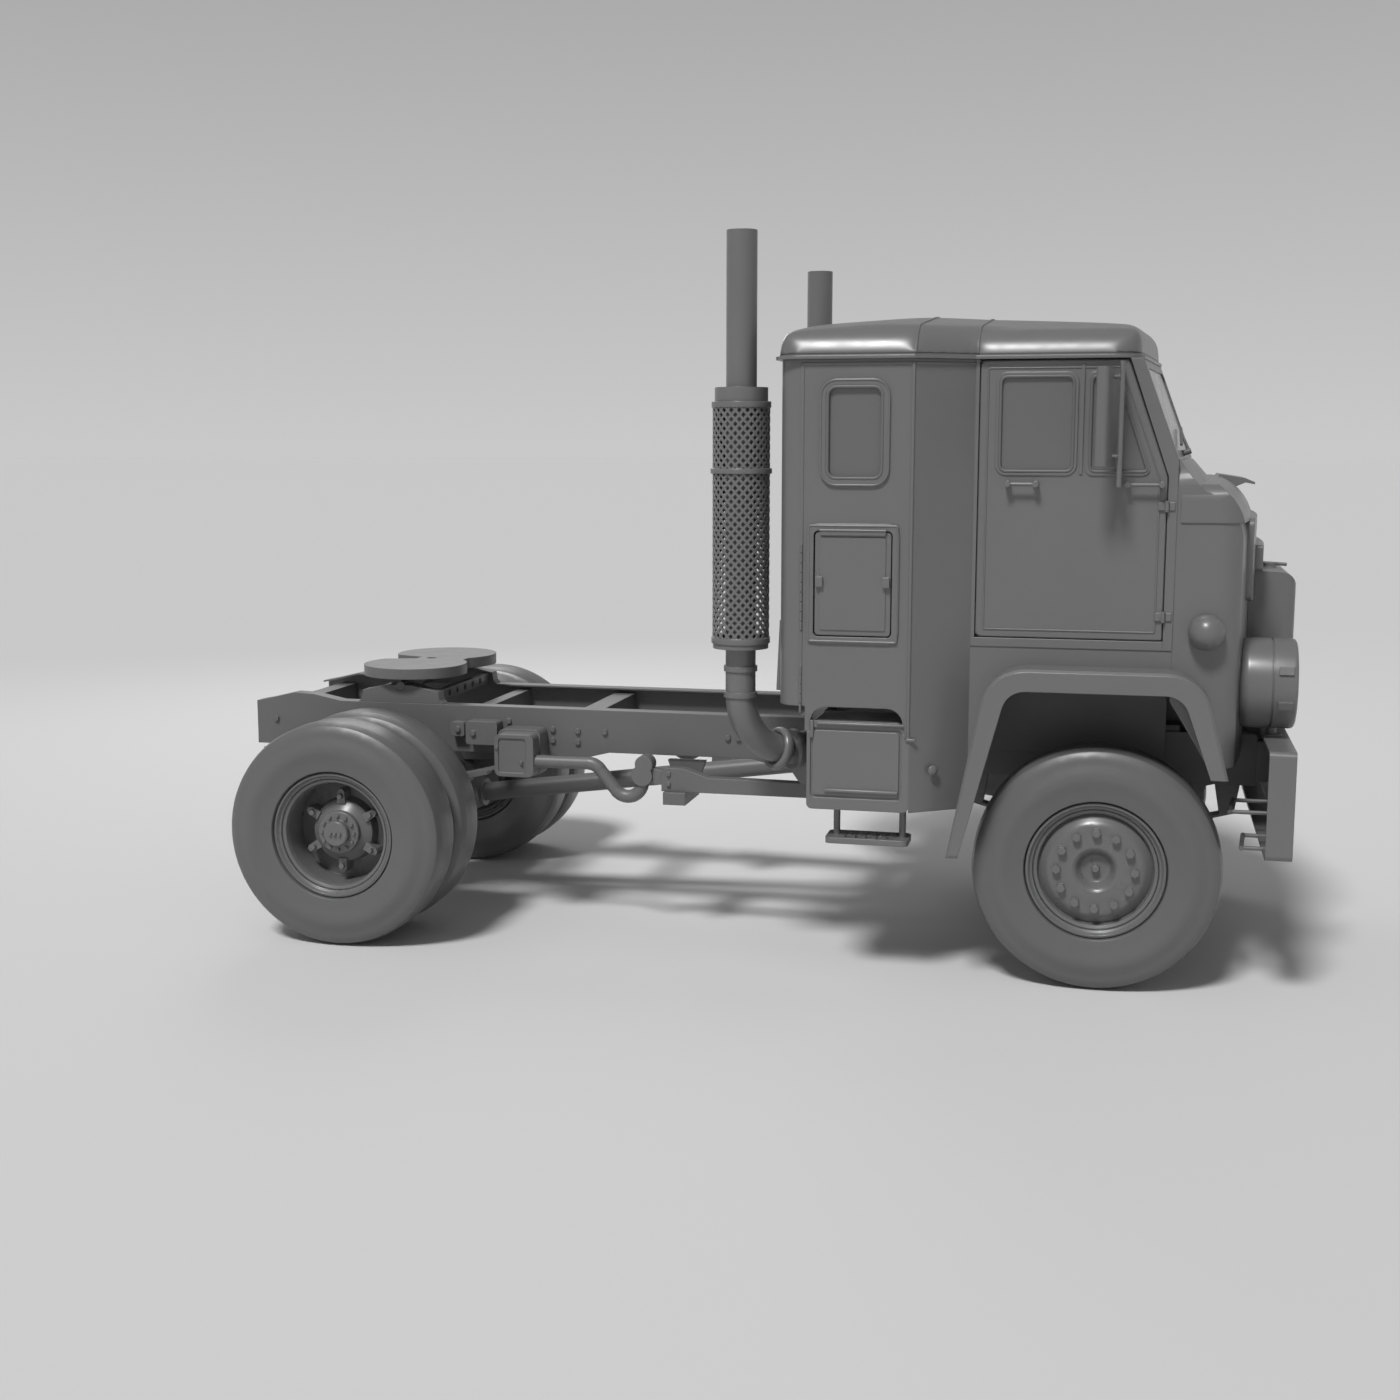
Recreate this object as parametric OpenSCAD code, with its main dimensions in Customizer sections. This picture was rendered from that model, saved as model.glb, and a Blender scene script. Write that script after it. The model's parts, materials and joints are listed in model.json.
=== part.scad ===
// Cab-over truck tractor with a sleeper cab, a short frame, twin exhaust stacks and a fifth wheel.
// Millimetres. +X is forward, +Y is the driver's left, +Z is up, and the wheels stand on Z = 0.

/* [Chassis] */
// Distance between the front and rear axle centres
wheelbase = 3530; // [3400:10:3800]
// Rear axle centre to the back end of the frame
rear_overhang = 757; // [720:1:820]
// Front axle centre to the face of the grille shell
front_overhang = 838; // [830:1:900]
// Outer width over the two frame rails
frame_w = 860; // [820:2:880]
// Height of the rails' top flange above the ground
rail_top = 1070; // [1050:1:1090]
// Depth of a rail between the axles
rail_h = 212; // [190:1:220]
// Width of a rail's flanges
rail_flange = 75; // [65:1:90]
// Sheet thickness of the rails
rail_t = 10; // [8:1:14]

/* [Wheels] */
// Outer diameter of every tyre
tyre_d = 1080; // [1040:2:1100]
// Section width of a tyre
tyre_w = 290; // [270:1:300]
// Diameter over a rim's flanges
rim_d = 600; // [560:2:620]
// Distance from a kingpin out to the middle of its tyre
kingpin_offset = 225; // [215:1:240]
// Width over the outer faces of the rear twin tyres
rear_span = 2414; // [2400:2:2440]
// Distance between the middles of two twin tyres
twin_gap = 319; // [310:1:330]
// Nuts on each front wheel
front_nuts = 12; // [8:1:14]
// Clamps that hold each pair of rear rims
rear_clamps = 6; // [5:1:8]

/* [Cab] */
// Width over the cab at the doors
cab_w = 2060; // [2040:2:2100]
// Width over the sleeper
sleeper_w = 2400; // [2360:2:2440]
// Thickness of the body's walls and doors
wall = 45; // [35:1:50]
// Height of the door sill
sill_z = 1510; // [1500:1:1530]
// Height of the roof gutter
gutter_z = 2735; // [2700:1:2780]
// Rise of the roof's crown above its gutter
roof_rise = 219; // [200:1:240]
// Length of the sleeper's flat side, with its rounded rear corner
sleeper_l = 587; // [560:1:640]
// Radius of the sleeper's rear corners
sleeper_corner = 108; // [80:1:120]
// Length of the slanted shoulder between sleeper and door
shoulder_l = 238; // [200:1:270]
// Length of the door
door_l = 781; // [760:1:800]
// Front axle centre to the front edge of the door
door_ahead = 241; // [230:1:250]
// Front jamb strip between the door and the nose
jamb = 45; // [40:1:60]
// Length of the nose ahead of the jamb
nose_l = 352; // [330:1:370]
// Gap round doors and hatches
gap = 6; // [5:0.5:8]
// Backward lean of the windscreen, in degrees
screen_lean = 20.5; // [18:0.5:22]
// Sweep of each windscreen half in plan, in degrees
screen_sweep = 4.8; // [3:0.1:6]
// Glass thickness
glass_t = 8; // [6:1:12]

/* [Sleeper hatch] */
// Length of the hatch panel
hatch_l = 329; // [300:1:350]
// Height of the hatch panel
hatch_h = 445; // [400:1:470]
// Width of the raised frame round the hatch
hatch_rim = 35; // [25:1:40]

/* [Lockers and steps] */
// Height of the lockers' underside above the ground
locker_z = 790; // [770:1:820]
// Height of a locker
locker_h = 393; // [370:1:400]
// Depth of a locker across the truck
locker_d = 300; // [260:1:320]
// Drop of the hanging step below the locker
step_drop = 128; // [110:1:150]

/* [Front end] */
// Length of the bumper across the truck
bumper_l = 2300; // [2260:2:2360]
// Height of the bumper's lower edge
bumper_z = 647; // [630:1:680]
// Height of the bumper
bumper_h = 466; // [430:1:480]
// Depth of the bumper
bumper_t = 110; // [90:1:120]
// Width of the grille shell
grille_w = 700; // [640:2:760]
// Number of grille bars
grille_bars = 9; // [6:1:12]
// Distance between the middles of the headlamp pods
lamp_span = 1400; // [1340:2:1480]
// Diameter of a headlamp pod
lamp_d = 394; // [360:2:400]

/* [Exhaust] */
// Distance between the two stacks
stack_span = 2000; // [1960:2:2040]
// Height of the stacks' tops
stack_top = 3300; // [3200:5:3400]
// Outer diameter of the stack pipe
pipe_d = 136; // [120:1:150]
// Outer diameter of the heat shield
shield_d = 258; // [240:1:270]
// Radius of the elbow below the stack
elbow_r = 280; // [260:1:300]

/* [Fifth wheel] */
// Height of the coupling plate's top face
plate_z = 1250; // [1240:1:1290]
// Diameter of each of the plate's two lobes
lobe_d = 528; // [500:2:540]
// Distance between the lobes' middles
lobe_span = 440; // [400:2:460]
// Plate thickness
plate_t = 54; // [48:1:58]
// Bore of the closed kingpin lock
kingpin_bore = 52; // [51:0.5:54]

/* [Running gear] */
// Distance between the kingpins
kingpin_span = 1400; // [1380:2:1420]
// Kingpin diameter
kingpin_d = 42; // [36:1:48]
// Spindle diameter at each hub
spindle_d = 80; // [70:1:90]
// Rearward reach of the steering arms
steer_arm = 190; // [170:1:210]
// Running clearance at pins and spindles
run_gap = 0.5; // [0.3:0.1:0.8]
// Width of a spring leaf
leaf_w = 70; // [60:1:80]

/* [Hidden] */
$fn = 64;
eps = 0.01;

overall_l = rear_overhang + wheelbase + front_overhang;
rear_end = -overall_l / 2;
rear_axle = rear_end + rear_overhang;
front_axle = rear_axle + wheelbase;
grille_face = overall_l / 2;
wheel_r = tyre_d / 2;
rim_r = rim_d / 2;

// Stations along the cab, from the nose back
door_front = front_axle + door_ahead;
door_rear = door_front - door_l;
post_w = 16;
jamb_x = door_front + gap;
post_x = door_rear - gap;
post_rear = post_x - post_w;
sleeper_front = post_rear - shoulder_l;
sleeper_rear = sleeper_front - sleeper_l;
sleeper_seam = sleeper_rear + sleeper_corner;
nose_rear = door_front + jamb;
nose_front = nose_rear + nose_l;
cab_y = cab_w / 2;
sleeper_y = sleeper_w / 2;

// Heights of the cab
door_z = sill_z + jamb;
door_top = gutter_z - gap - 2;
belt_z = gutter_z - 495;
window_z = gutter_z - 477;
window_top = gutter_z - 67;
floor_t = 40;
floor_z = sill_z - 60;
sleeper_floor_z = 1245;
arch_top = 1339;
apron_y = 470;
apron_t = 20;
apron_z = 960;

// Panels and glass: how far frames stand proud, how deep glass sits, and the rebate behind a door's edges
frame_proud = 4;
bead_proud = 5;
glass_set = 7;
rebate_y = wall + 6;
rebate_t = 10;
rebate_lap = 20;

// The door's slanted front edge, and the windscreen
slant_x = door_front - 175;
screen_z = belt_z + 75;
screen_x = nose_rear + 82;
screen_h = (gutter_z - screen_z) / cos(screen_lean);

// Frame
rail_y = frame_w / 2;
rail_low = rail_top - rail_h - 25;
bumper_rear = front_axle + 693;
rail_front = bumper_rear;
hump_h = 34;

// Front suspension and steering
kingpin_y = kingpin_span / 2;
front_y = kingpin_y + kingpin_offset;
rear_y = rear_span / 2 - tyre_w / 2;
eye_h = 80;
arm_z = wheel_r - 95;

body_grey = [0.36, 0.36, 0.36];
frame_grey = [0.33, 0.33, 0.33];
rubber_grey = [0.30, 0.30, 0.30];
glass_grey = [0.34, 0.35, 0.36, 0.6];

// Shared shapes

// Points on an arc, from angle a0 to a1
function arc(cx, cy, r, a0, a1, n = 6) =
  [for (i = [0:n]) let (a = a0 + (a1 - a0) * i / n) [cx + r * cos(a), cy + r * sin(a)]];

// Outline of a rectangle with round corners
function round_box(x0, y0, x1, y1, r) =
  concat(arc(x1 - r, y1 - r, r, 0, 90), arc(x0 + r, y1 - r, r, 90, 180), arc(x0 + r, y0 + r, r, 180, 270),
    arc(x1 - r, y0 + r, r, 270, 360));

// Extrudes an X-Z outline from y0 to y1
module across(y0, y1) {
  translate([0, y1, 0]) rotate([90, 0, 0]) linear_extrude(y1 - y0) children();
}

// Extrudes a Y-Z outline from x0 to x1
module along(x0, x1) {
  translate([x0, 0, 0]) rotate([90, 0, 90]) linear_extrude(x1 - x0) children();
}

// Extrudes an X-Y outline from z0 to z1
module upward(z0, z1) {
  translate([0, 0, z0]) linear_extrude(z1 - z0) children();
}

// A box from one corner to the other
module block(a, b) {
  translate(a) cube(b - a);
}

// A cylinder on the Y axis, from y0 to y1
module shaft(x, z, r, y0, y1) {
  translate([x, y1, z]) rotate([90, 0, 0]) cylinder(r = r, h = y1 - y0);
}

// A round bar from one point to another
module bar(a, b, r) {
  d = b - a;
  translate(a) rotate([0, acos(d.z / norm(d)), atan2(d.y, d.x)]) cylinder(r = r, h = norm(d));
}

// The right side's shape, and its mirror image on the left
module both_sides() {
  children();
  mirror([0, 1, 0]) children();
}

module on_left() {
  mirror([0, 1, 0]) children();
}

// Direction of travel from p to q, in degrees
function heading(p, q) = atan2(q[1] - p[1], q[0] - p[0]);

// A round rod along an X-Z route at y, with a bend of radius b at each corner
module bent_rod(y, route, r, b) {
  $fn = 24;
  last = len(route) - 1;
  turns = [for (i = [1:last - 1]) heading(route[i], route[i + 1]) - heading(route[i - 1], route[i])];
  cuts = concat([0], [for (t = turns) b * tan(abs(t) / 2)], [0]);
  for (i = [0:last - 1]) {
    a = heading(route[i], route[i + 1]);
    d = [cos(a), sin(a)];
    p = route[i] + (cuts[i] - 6) * d;
    q = route[i + 1] - cuts[i + 1] * d;
    e = q + 6 * d;
    bar([p[0], y, p[1]], [e[0], y, e[1]], r - 1);
    if (i < last - 1) {
      t = turns[i];
      c = q + b * sign(t) * [-d[1], d[0]];
      translate([c[0], y, c[1]]) rotate([90, 0, 0]) rotate([0, 0, a - 90 * sign(t) + min(t, 0)])
        rotate_extrude(angle = abs(t)) translate([b, 0]) circle(r = r);
    }
  }
}

// Turns a profile of [radius, distance outboard of y] round a wheel's axle on the right side
module turned(x, y, z, points) {
  translate([x, y, z]) rotate([90, 0, 0]) rotate_extrude() polygon(points);
}

// Frame

// Outline of a rail's web, drawn in by t at the top and bottom and run out by t at the ends
function rail_outline(t) = [[rear_end - t, rail_top - 14 - t], [rear_end + 70, rail_top - t],
  [rear_end + 210, rail_top + hump_h - t], [rear_end + 320, rail_top + hump_h - 4 - t],
  [rear_end + 470, rail_top - t], [rail_front + t, rail_top - t], [rail_front + t, rail_low + t],
  [front_axle - 1560, rail_low + t], [front_axle - 1660, rail_top - rail_h + t],
  [rear_axle + 1150, rail_top - rail_h + t], [rear_axle + 1050, rail_low + t],
  [rear_end - t, rail_low + t]];

// Bolt heads on a rail's web: [distance ahead of the rear axle, depth below the rail's top]
bolt_r = 14;
bolt_h = 12;
bolt_table = [[109 - rear_overhang, 104], [626, 72], [857, 104], [857, 160], [988, 109], [988, 164],
  [1128, 108], [1754, 112], [1809, 112]];

module frame_rails() {
  color(frame_grey) both_sides() {
    difference() {
      across(-rail_y, rail_flange - rail_y) polygon(rail_outline(0));
      across(rail_t - rail_y, rail_flange - rail_y + eps) polygon(rail_outline(rail_t));
    }
    for (b = bolt_table) shaft(rear_axle + b[0], rail_top - b[1], bolt_r, -rail_y - bolt_h, -rail_y + 2);
  }
}

// Crossmembers: [middle along X, length along X, lower edge below the rail top, height]
crossmember_table = [[rear_end + 130, 90, 150, 120], [rear_axle + 420, 70, 140, 110],
  [rear_axle + 1000, 110, 130, 100], [front_axle - 1420, 90, 150, 120], [front_axle + 560, 90, 170, 120]];

module crossmembers() {
  color(frame_grey) {
    for (c = crossmember_table)
      along(c[0] - c[1] / 2, c[0] + c[1] / 2)
        polygon(round_box(rail_t - rail_y, rail_top - c[2], rail_y - rail_t, rail_top - c[2] + c[3], 12));
    outrigger();
  }
}

// Brackets under the rails that carry the front ends of the radius rods
outrigger_x = rear_axle + 1540;
outrigger_z = rail_low - 115;
outrigger_half = 55;
rod_y = 600;

module outrigger() {
  both_sides() {
    block([outrigger_x - outrigger_half, -rod_y - 60, outrigger_z - 60],
      [outrigger_x + outrigger_half, -rail_y + 60, outrigger_z]);
    across(-rail_y + 20, -rail_y + 60)
      polygon([[outrigger_x - outrigger_half, outrigger_z], [outrigger_x + outrigger_half, outrigger_z],
        [outrigger_x + 95, rail_low], [outrigger_x - 95, rail_low]]);
  }
}

// Axles

module axles() {
  color(frame_grey) {
    front_beam();
    rear_housing();
  }
}

beam_low = wheel_r - 105;
beam_top = wheel_r + 5;
beam_half = 45;
beam_drop_y = 480;
eye_in = 62;

module front_beam() {
  difference() {
    union() {
      along(front_axle - beam_half, front_axle + beam_half)
        polygon([[-kingpin_y, wheel_r - eye_h / 2], [-kingpin_y, wheel_r + eye_h / 2],
          [-kingpin_y + eye_in, wheel_r + eye_h / 2], [-beam_drop_y, beam_top], [beam_drop_y, beam_top],
          [kingpin_y - eye_in, wheel_r + eye_h / 2], [kingpin_y, wheel_r + eye_h / 2],
          [kingpin_y, wheel_r - eye_h / 2], [kingpin_y - eye_in, wheel_r - eye_h / 2],
          [beam_drop_y, beam_low], [-beam_drop_y, beam_low], [-kingpin_y + eye_in, wheel_r - eye_h / 2]]);
      both_sides() translate([front_axle, -kingpin_y, wheel_r - eye_h / 2])
        cylinder(d = kingpin_d + 56, h = eye_h);
    }
    both_sides() translate([front_axle, -kingpin_y, 0])
      cylinder(d = kingpin_d + 2 * run_gap, h = tyre_d);
    // Relief in front of and behind the web, as a forged beam has
    for (s = [-1, 1])
      block([front_axle + s * 32 - 18, -430, beam_low + 25],
        [front_axle + s * 32 + 18, 430, beam_top - 25]);
  }
}

// Rear axle: a banjo housing with its cover and pinion nose, the tube, the spindles and the brake plates
axle_tube_r = 78;
hub_inner = rear_y - twin_gap - 150;

module rear_housing() {
  translate([rear_axle, 0, wheel_r]) {
    rotate([0, 90, 0]) cylinder(r = 215, h = 300, center = true);
    rotate([0, 90, 0]) translate([0, 0, -205]) cylinder(r1 = 120, r2 = 205, h = 60);
    rotate([0, 90, 0]) translate([0, 0, 149]) cylinder(r1 = 180, r2 = 75, h = pinion_x - 149);
    rotate([90, 0, 0]) cylinder(r = axle_tube_r, h = 2 * hub_inner - 20, center = true);
    rotate([90, 0, 0]) cylinder(d = spindle_d, h = 2 * rear_y + 60, center = true);
    for (s = [-1, 1]) rotate([90, 0, 0])
      translate([0, 0, s * (hub_inner - 30)]) cylinder(r = 205, h = 16, center = true);
  }
}

// Suspension

// Height of a spring's curve at x from its middle, a parabola with the given rise at its end
function spring_curve(x, rise) = rise * pow(x / 620, 2);

// Outline of one leaf on that curve
function leaf_line(l, rise, z, t) = concat([for (i = [-6:6]) let (x = i / 6 * l) [x, z + spring_curve(x,
  rise)]], [for (i = [6:-1:-6]) let (x = i / 6 * l) [x, z + t + spring_curve(x, rise)]]);

leaf_t = 16;
leaf_count = 5;
leaf_step = 0.15;

module leaf_pack(x, y, z, half_l, rise) {
  translate([x, 0, z]) across(y - leaf_w / 2, y + leaf_w / 2)
    for (i = [0:leaf_count - 1])
      let (above = leaf_count - 1 - i)
        polygon(leaf_line(half_l * (1 - leaf_step * above), rise, i * leaf_t, leaf_t + min(above, 1)));
}

front_spring_y = 395;
front_spring_l = 600;
rear_spring_y = 505;
rear_spring_l = 640;
spring_rise = 95;
spring_eye = wheel_r + axle_tube_r + leaf_count * leaf_t + spring_rise;

module suspension() {
  color(frame_grey) both_sides() {
    leaf_pack(front_axle, -front_spring_y, beam_top, front_spring_l, spring_rise);
    front_hangers();
    leaf_pack(rear_axle, -rear_spring_y, wheel_r + axle_tube_r + run_gap, rear_spring_l, spring_rise);
    rear_hangers();
    box_cover();
    radius_rod();
  }
}

// Plates under the rail that close over each end of a front spring
hanger_in = 30;

module front_hangers() {
  top = beam_top + leaf_count * leaf_t + spring_curve(front_spring_l - hanger_in, spring_rise);
  for (s = [-1, 1])
    let (eye = front_axle + s * (front_spring_l - hanger_in))
      across(-front_spring_y - leaf_w / 2, -front_spring_y + leaf_w / 2)
        polygon([[eye - 55, rail_low], [eye + 55, rail_low], [eye + 32, top - 8], [eye - 32, top - 8]]);
}

// Cast box on the rail that takes a rear spring's front end
box_x = rear_axle + rear_spring_l - hanger_in;
box_z = 747;
box_h = 230;
box_l = 220;
box_y = rear_spring_y + leaf_w / 2 + 10;

// Small cast brackets behind the box: [rear X, front X, low Z, high Z, depth]
bracket_table = [[rear_axle + 330, rear_axle + 405, rail_top - 152, rail_top - 78, 48],
  [rear_axle + 425, rear_axle + 592, rail_top - 185, rail_top - 66, 84]];
bracket_bolt_in = 40;

module rear_hangers() {
  across(-box_y, -rail_y) difference() {
    polygon(round_box(box_x, box_z, box_x + box_l, box_z + box_h, 32));
    polygon([[box_x - 1, spring_eye - 65], [box_x + 34, spring_eye - 60], [box_x + 34, spring_eye + 20],
      [box_x - 1, spring_eye + 20]]);
  }
  for (b = bracket_table) {
    across(-rail_y - b[4], -rail_y) polygon(round_box(b[0], b[2], b[1], b[3], 14));
    shaft(b[0] + bracket_bolt_in, (b[2] + b[3]) / 2, bolt_r, -rail_y - b[4] - bolt_h, -rail_y - b[4] + 1);
  }
  // Bracket under the rail that takes the spring's rear end
  block([rear_axle - rear_spring_l - 30, -rear_spring_y - leaf_w / 2, spring_eye - 2],
    [rear_axle - rear_spring_l + 60, -rail_y + rail_flange, rail_low]);
}

// Cover on the box's outer face, with a sunk panel and two bolts: [X, Z] from the box's corner
cover_t = 90;
cover_sink = 7;
cover_bolts = [[24, 150], [150, 80]];

module box_cover() {
  y = -box_y - cover_t;
  difference() {
    across(y, -box_y)
      polygon(round_box(box_x + 12, box_z + 8, box_x + box_l - 6, box_z + box_h - 12, 30));
    across(y - 1, y + cover_sink)
      polygon(round_box(box_x + 32, box_z + 28, box_x + box_l - 46, box_z + box_h - 32, 16));
  }
  for (b = cover_bolts) shaft(box_x + b[0], box_z + b[1], 9, y - 6, y + cover_sink + 1);
}

// Goose-neck rod from the cast box to the pivot eye, and the beam that holds the eye
rod_r = 32;
rod_z = 832;
rod_bend = 75;
eye_x = rear_axle + 1373;
beam_x = rear_axle + 1470;
beam_end = sleeper_rear + 190;
// Corners of the rod's middle line in X and Z, from the box to the eye
rod_route = [[box_x + box_l - 8, rod_z], [rear_axle + 1130, rod_z + 2], [rear_axle + 1345, rod_z - 262],
  [eye_x, rod_z - 42]];

module radius_rod() {
  bent_rod(-rod_y, rod_route, rod_r, rod_bend);
  shaft(eye_x, rod_z - 42, 52, -rod_y - 38, -rod_y + 38);
  shaft(eye_x + 10, rod_z + 12, 44, -rod_y - 38, -rod_y + 38);
  // Link from the eye to the beam, then the tapered beam that runs forward to the locker
  across(-rod_y - 22, -rod_y + 22)
    polygon([[eye_x, rod_z - 80], [beam_x + 20, rod_z - 85], [beam_x + 20, rod_z - 20],
      [eye_x, rod_z + 8]]);
  across(-rod_y - 30, -rod_y + 30)
    polygon([[beam_x, outrigger_z], [beam_x, rod_z - 20], [beam_x + 30, rod_z], [beam_x + 110, rod_z],
      [beam_x + 230, rod_z - 40], [beam_end - 36, rod_z - 46], [beam_end - 36, locker_z + 20],
      [beam_end, locker_z + 20], [beam_end, outrigger_z]]);
  for (z = [rod_z - 28, rod_z - 78]) shaft(beam_x + 36, z, 11, -rod_y - 40, -rod_y - 29);
}

// Engine, gearbox and propeller shaft
engine_z = 680;
engine_half = 300;
gearbox_z = engine_z + 160;
shaft_r = 48;
pinion_x = 319;
flange_t = 20;

module powertrain() {
  color(frame_grey) {
    along(front_axle - 430, front_axle + 480)
      polygon(concat(arc(0, engine_z + 90, 190, 200, 340), [[engine_half, engine_z + 260],
        [engine_half, floor_z - 160], [180, floor_z - 60], [-180, floor_z - 60],
        [-engine_half, floor_z - 160], [-engine_half, engine_z + 260]]));
    translate([front_axle - 429, 0, gearbox_z]) rotate([0, -90, 0]) cylinder(r1 = 205, r2 = 130, h = 560);
    bar([front_axle - 980, 0, gearbox_z], [rear_axle + pinion_x + flange_t - 2, 0, wheel_r], shaft_r);
    translate([rear_axle + pinion_x, 0, wheel_r]) rotate([0, 90, 0]) cylinder(r = 74, h = flange_t);
    // Feet on the rails
    for (x = [front_axle - 240, front_axle + 300]) both_sides()
      block([x - 50, -rail_y + 14, rail_top], [x + 50, 10 - engine_half, rail_top + 28]);
    translate([front_axle + 479, 0, engine_z + 300]) rotate([0, 90, 0]) cylinder(r = 220, h = 24);
  }
}

// Front end

bumper_wall = 14;
bumper_in = bumper_rear + bumper_t - bumper_wall + 1;

module bumper() {
  color(body_grey) {
    difference() {
      along(bumper_rear, bumper_rear + bumper_t)
        polygon(round_box(-bumper_l / 2, bumper_z, bumper_l / 2, bumper_z + bumper_h, 26));
      along(bumper_rear - eps, bumper_rear + bumper_t - bumper_wall)
        polygon(round_box(bumper_wall - bumper_l / 2, bumper_z + bumper_wall, bumper_l / 2 - bumper_wall,
          bumper_z + bumper_h - bumper_wall, 14));
    }
    both_sides() {
      block([bumper_rear, -rail_y, rail_low + 20], [bumper_in, rail_flange - rail_y, rail_top - 30]);
      for (s = step_table) front_step(s[0], s[1], s[2]);
    }
  }
}

// Round-bar front steps: [height, reach of the outer leg behind the bumper, reach of the inner leg]
step_table = [[814, 140, 112], [657, 85, 62]];
step_out = 950;
step_in = 690;
step_bar = 9;

module front_step(z, outer, inner) {
  bar([bumper_in, -step_in, z], [bumper_rear - inner, -step_in, z], step_bar);
  bar([bumper_in, -step_out, z], [bumper_rear - outer, -step_out, z], step_bar);
  bar([bumper_rear - outer, -step_out - 12, z], [bumper_rear - inner, -step_in + 12, z], step_bar + 1);
}

// Nose: a bowed front under a rounded hood, with a scuttle up to the windscreen
nose_corner = 120;
nose_bow = 85;
nose_bow_r = (cab_y * cab_y + nose_bow * nose_bow) / (2 * nose_bow);
nose_low = 1010;
nose_wall = wall * 0.6;
brow_r = 230;
brow_z = belt_z - 42;
scuttle_r = 130;
hood_z = belt_z + 4;
hood_side_z = belt_z - 28;
hood_proud = 6;
hood_edge = 70;
hood_rear = nose_rear + 16;
crease_z = belt_z - 188;
grille_low = bumper_z + bumper_h;
grille_high = 1805;

// Turns an X-Z outline about an upright axis far behind the nose, so that it bows across the truck
module bowed(points) {
  translate([nose_front - nose_bow_r, 0, 0]) rotate([0, 0, -12]) rotate_extrude(angle = 24, $fn = 720)
    polygon([for (p = points) [p[0] - nose_front + nose_bow_r, p[1]]]);
}

// Plan outline of the nose's sides and corners, drawn in by t
function nose_plan(t) =
  let (w = cab_y - nose_corner, x = nose_front - nose_bow * pow(w / cab_y, 2) - nose_corner + 4)
    concat(arc(x, -w, nose_corner - t, -90, -10, 8), [[nose_front + 50, -w], [nose_front + 50, w]],
      arc(x, w, nose_corner - t, 10, 90, 8), [[nose_rear - 2 * t, cab_y - t],
      [nose_rear - 2 * t, -cab_y + t]]);

// Side outline of the nose, drawn in by t: front face, brow and scuttle
function nose_side(t) = concat([[nose_rear - 300, nose_low - 2 * t], [nose_front - t, nose_low - 2 * t]],
  arc(nose_front - brow_r, brow_z - brow_r, brow_r - t, 0, 72, 9), [[screen_x + 6, screen_z - 8 - t],
  [screen_x - 8, screen_z - t], [nose_rear - 300, screen_z - t]]);

// Front outline of the nose, drawn in by t: upright sides with round shoulders
function nose_face(t) = concat([[-cab_y + t, nose_low - 2 * t], [cab_y - t, nose_low - 2 * t]],
  arc(cab_y - scuttle_r, screen_z - scuttle_r, scuttle_r - t, 0, 90, 8),
  arc(-cab_y + scuttle_r, screen_z - scuttle_r, scuttle_r - t, 90, 180, 8));

module nose_form(t) {
  intersection() {
    bowed(nose_side(t));
    upward(nose_low - 3 * t, gutter_z) polygon(nose_plan(t));
    along(nose_rear - 3 * t - 1, nose_front + 1) polygon(nose_face(t));
  }
}

// Hood: a crowned cap that stands a little proud of the nose above its crease
function hood_face() = let (c = cab_y + hood_proud) concat([[-c, crease_z - 1], [c, crease_z - 1]],
  arc(c - hood_edge, hood_side_z - hood_edge, hood_edge, 0, 84, 8), [[0, hood_z]],
  arc(-c + hood_edge, hood_side_z - hood_edge, hood_edge, 96, 180, 8));

hood_low = hood_z - brow_r - 10;
hood_side = concat([[nose_rear - 300, hood_low], [nose_front + hood_proud, hood_low]],
  arc(nose_front + hood_proud - brow_r, hood_z - brow_r, brow_r, 0, 80, 9),
  [[nose_rear - 300, hood_z + 3]]);

module hood() {
  intersection() {
    bowed(hood_side);
    upward(crease_z, hood_z + 1) polygon(nose_plan(-hood_proud));
    along(hood_rear - 1, nose_front + 50) polygon(hood_face());
    across(-cab_y - 50, cab_y + 50)
      polygon(concat([[nose_front + 50, crease_z - 2], [nose_front + 50, hood_z + 2]],
        arc(hood_rear + 45, hood_side_z - 45, 45, 90, 180), [[hood_rear, crease_z - 2]]));
  }
}

// Raised panel across the brow, and the slotted air box on its middle
vent_w = 1500;
vent_z = 1702;
vent_h = 360;
vent_proud = 24;
air_box_w = 1000;
air_box_z = grille_high + 12;
air_box_h = 116;
air_box_proud = 58;
slot_count = 3;
slot_h = 18;

function nose_strip(z, h, proud) = [[nose_front - 60, z], [nose_front + proud, z],
  [nose_front + proud, z + h], [nose_front - 60, z + h]];

module nose_vent() {
  intersection() {
    bowed(nose_strip(vent_z, vent_h, vent_proud));
    along(nose_front - 200, nose_front + 100)
      polygon(round_box(-vent_w / 2, vent_z, vent_w / 2, vent_z + vent_h, 40));
  }
  difference() {
    intersection() {
      bowed(nose_strip(air_box_z, air_box_h, air_box_proud));
      along(nose_front - 200, nose_front + 100)
        polygon(round_box(-air_box_w / 2, air_box_z, air_box_w / 2, air_box_z + air_box_h, 16));
    }
    for (i = [1:slot_count])
      let (z = air_box_z + i * air_box_h / (slot_count + 1))
        block([nose_front + air_box_proud - 28, 40 - air_box_w / 2, z - slot_h / 2],
          [nose_front + air_box_proud + 1, air_box_w / 2 - 40, z + slot_h / 2]);
  }
}

module nose_outside() {
  nose_form(0);
  hood();
  nose_vent();
}

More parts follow.
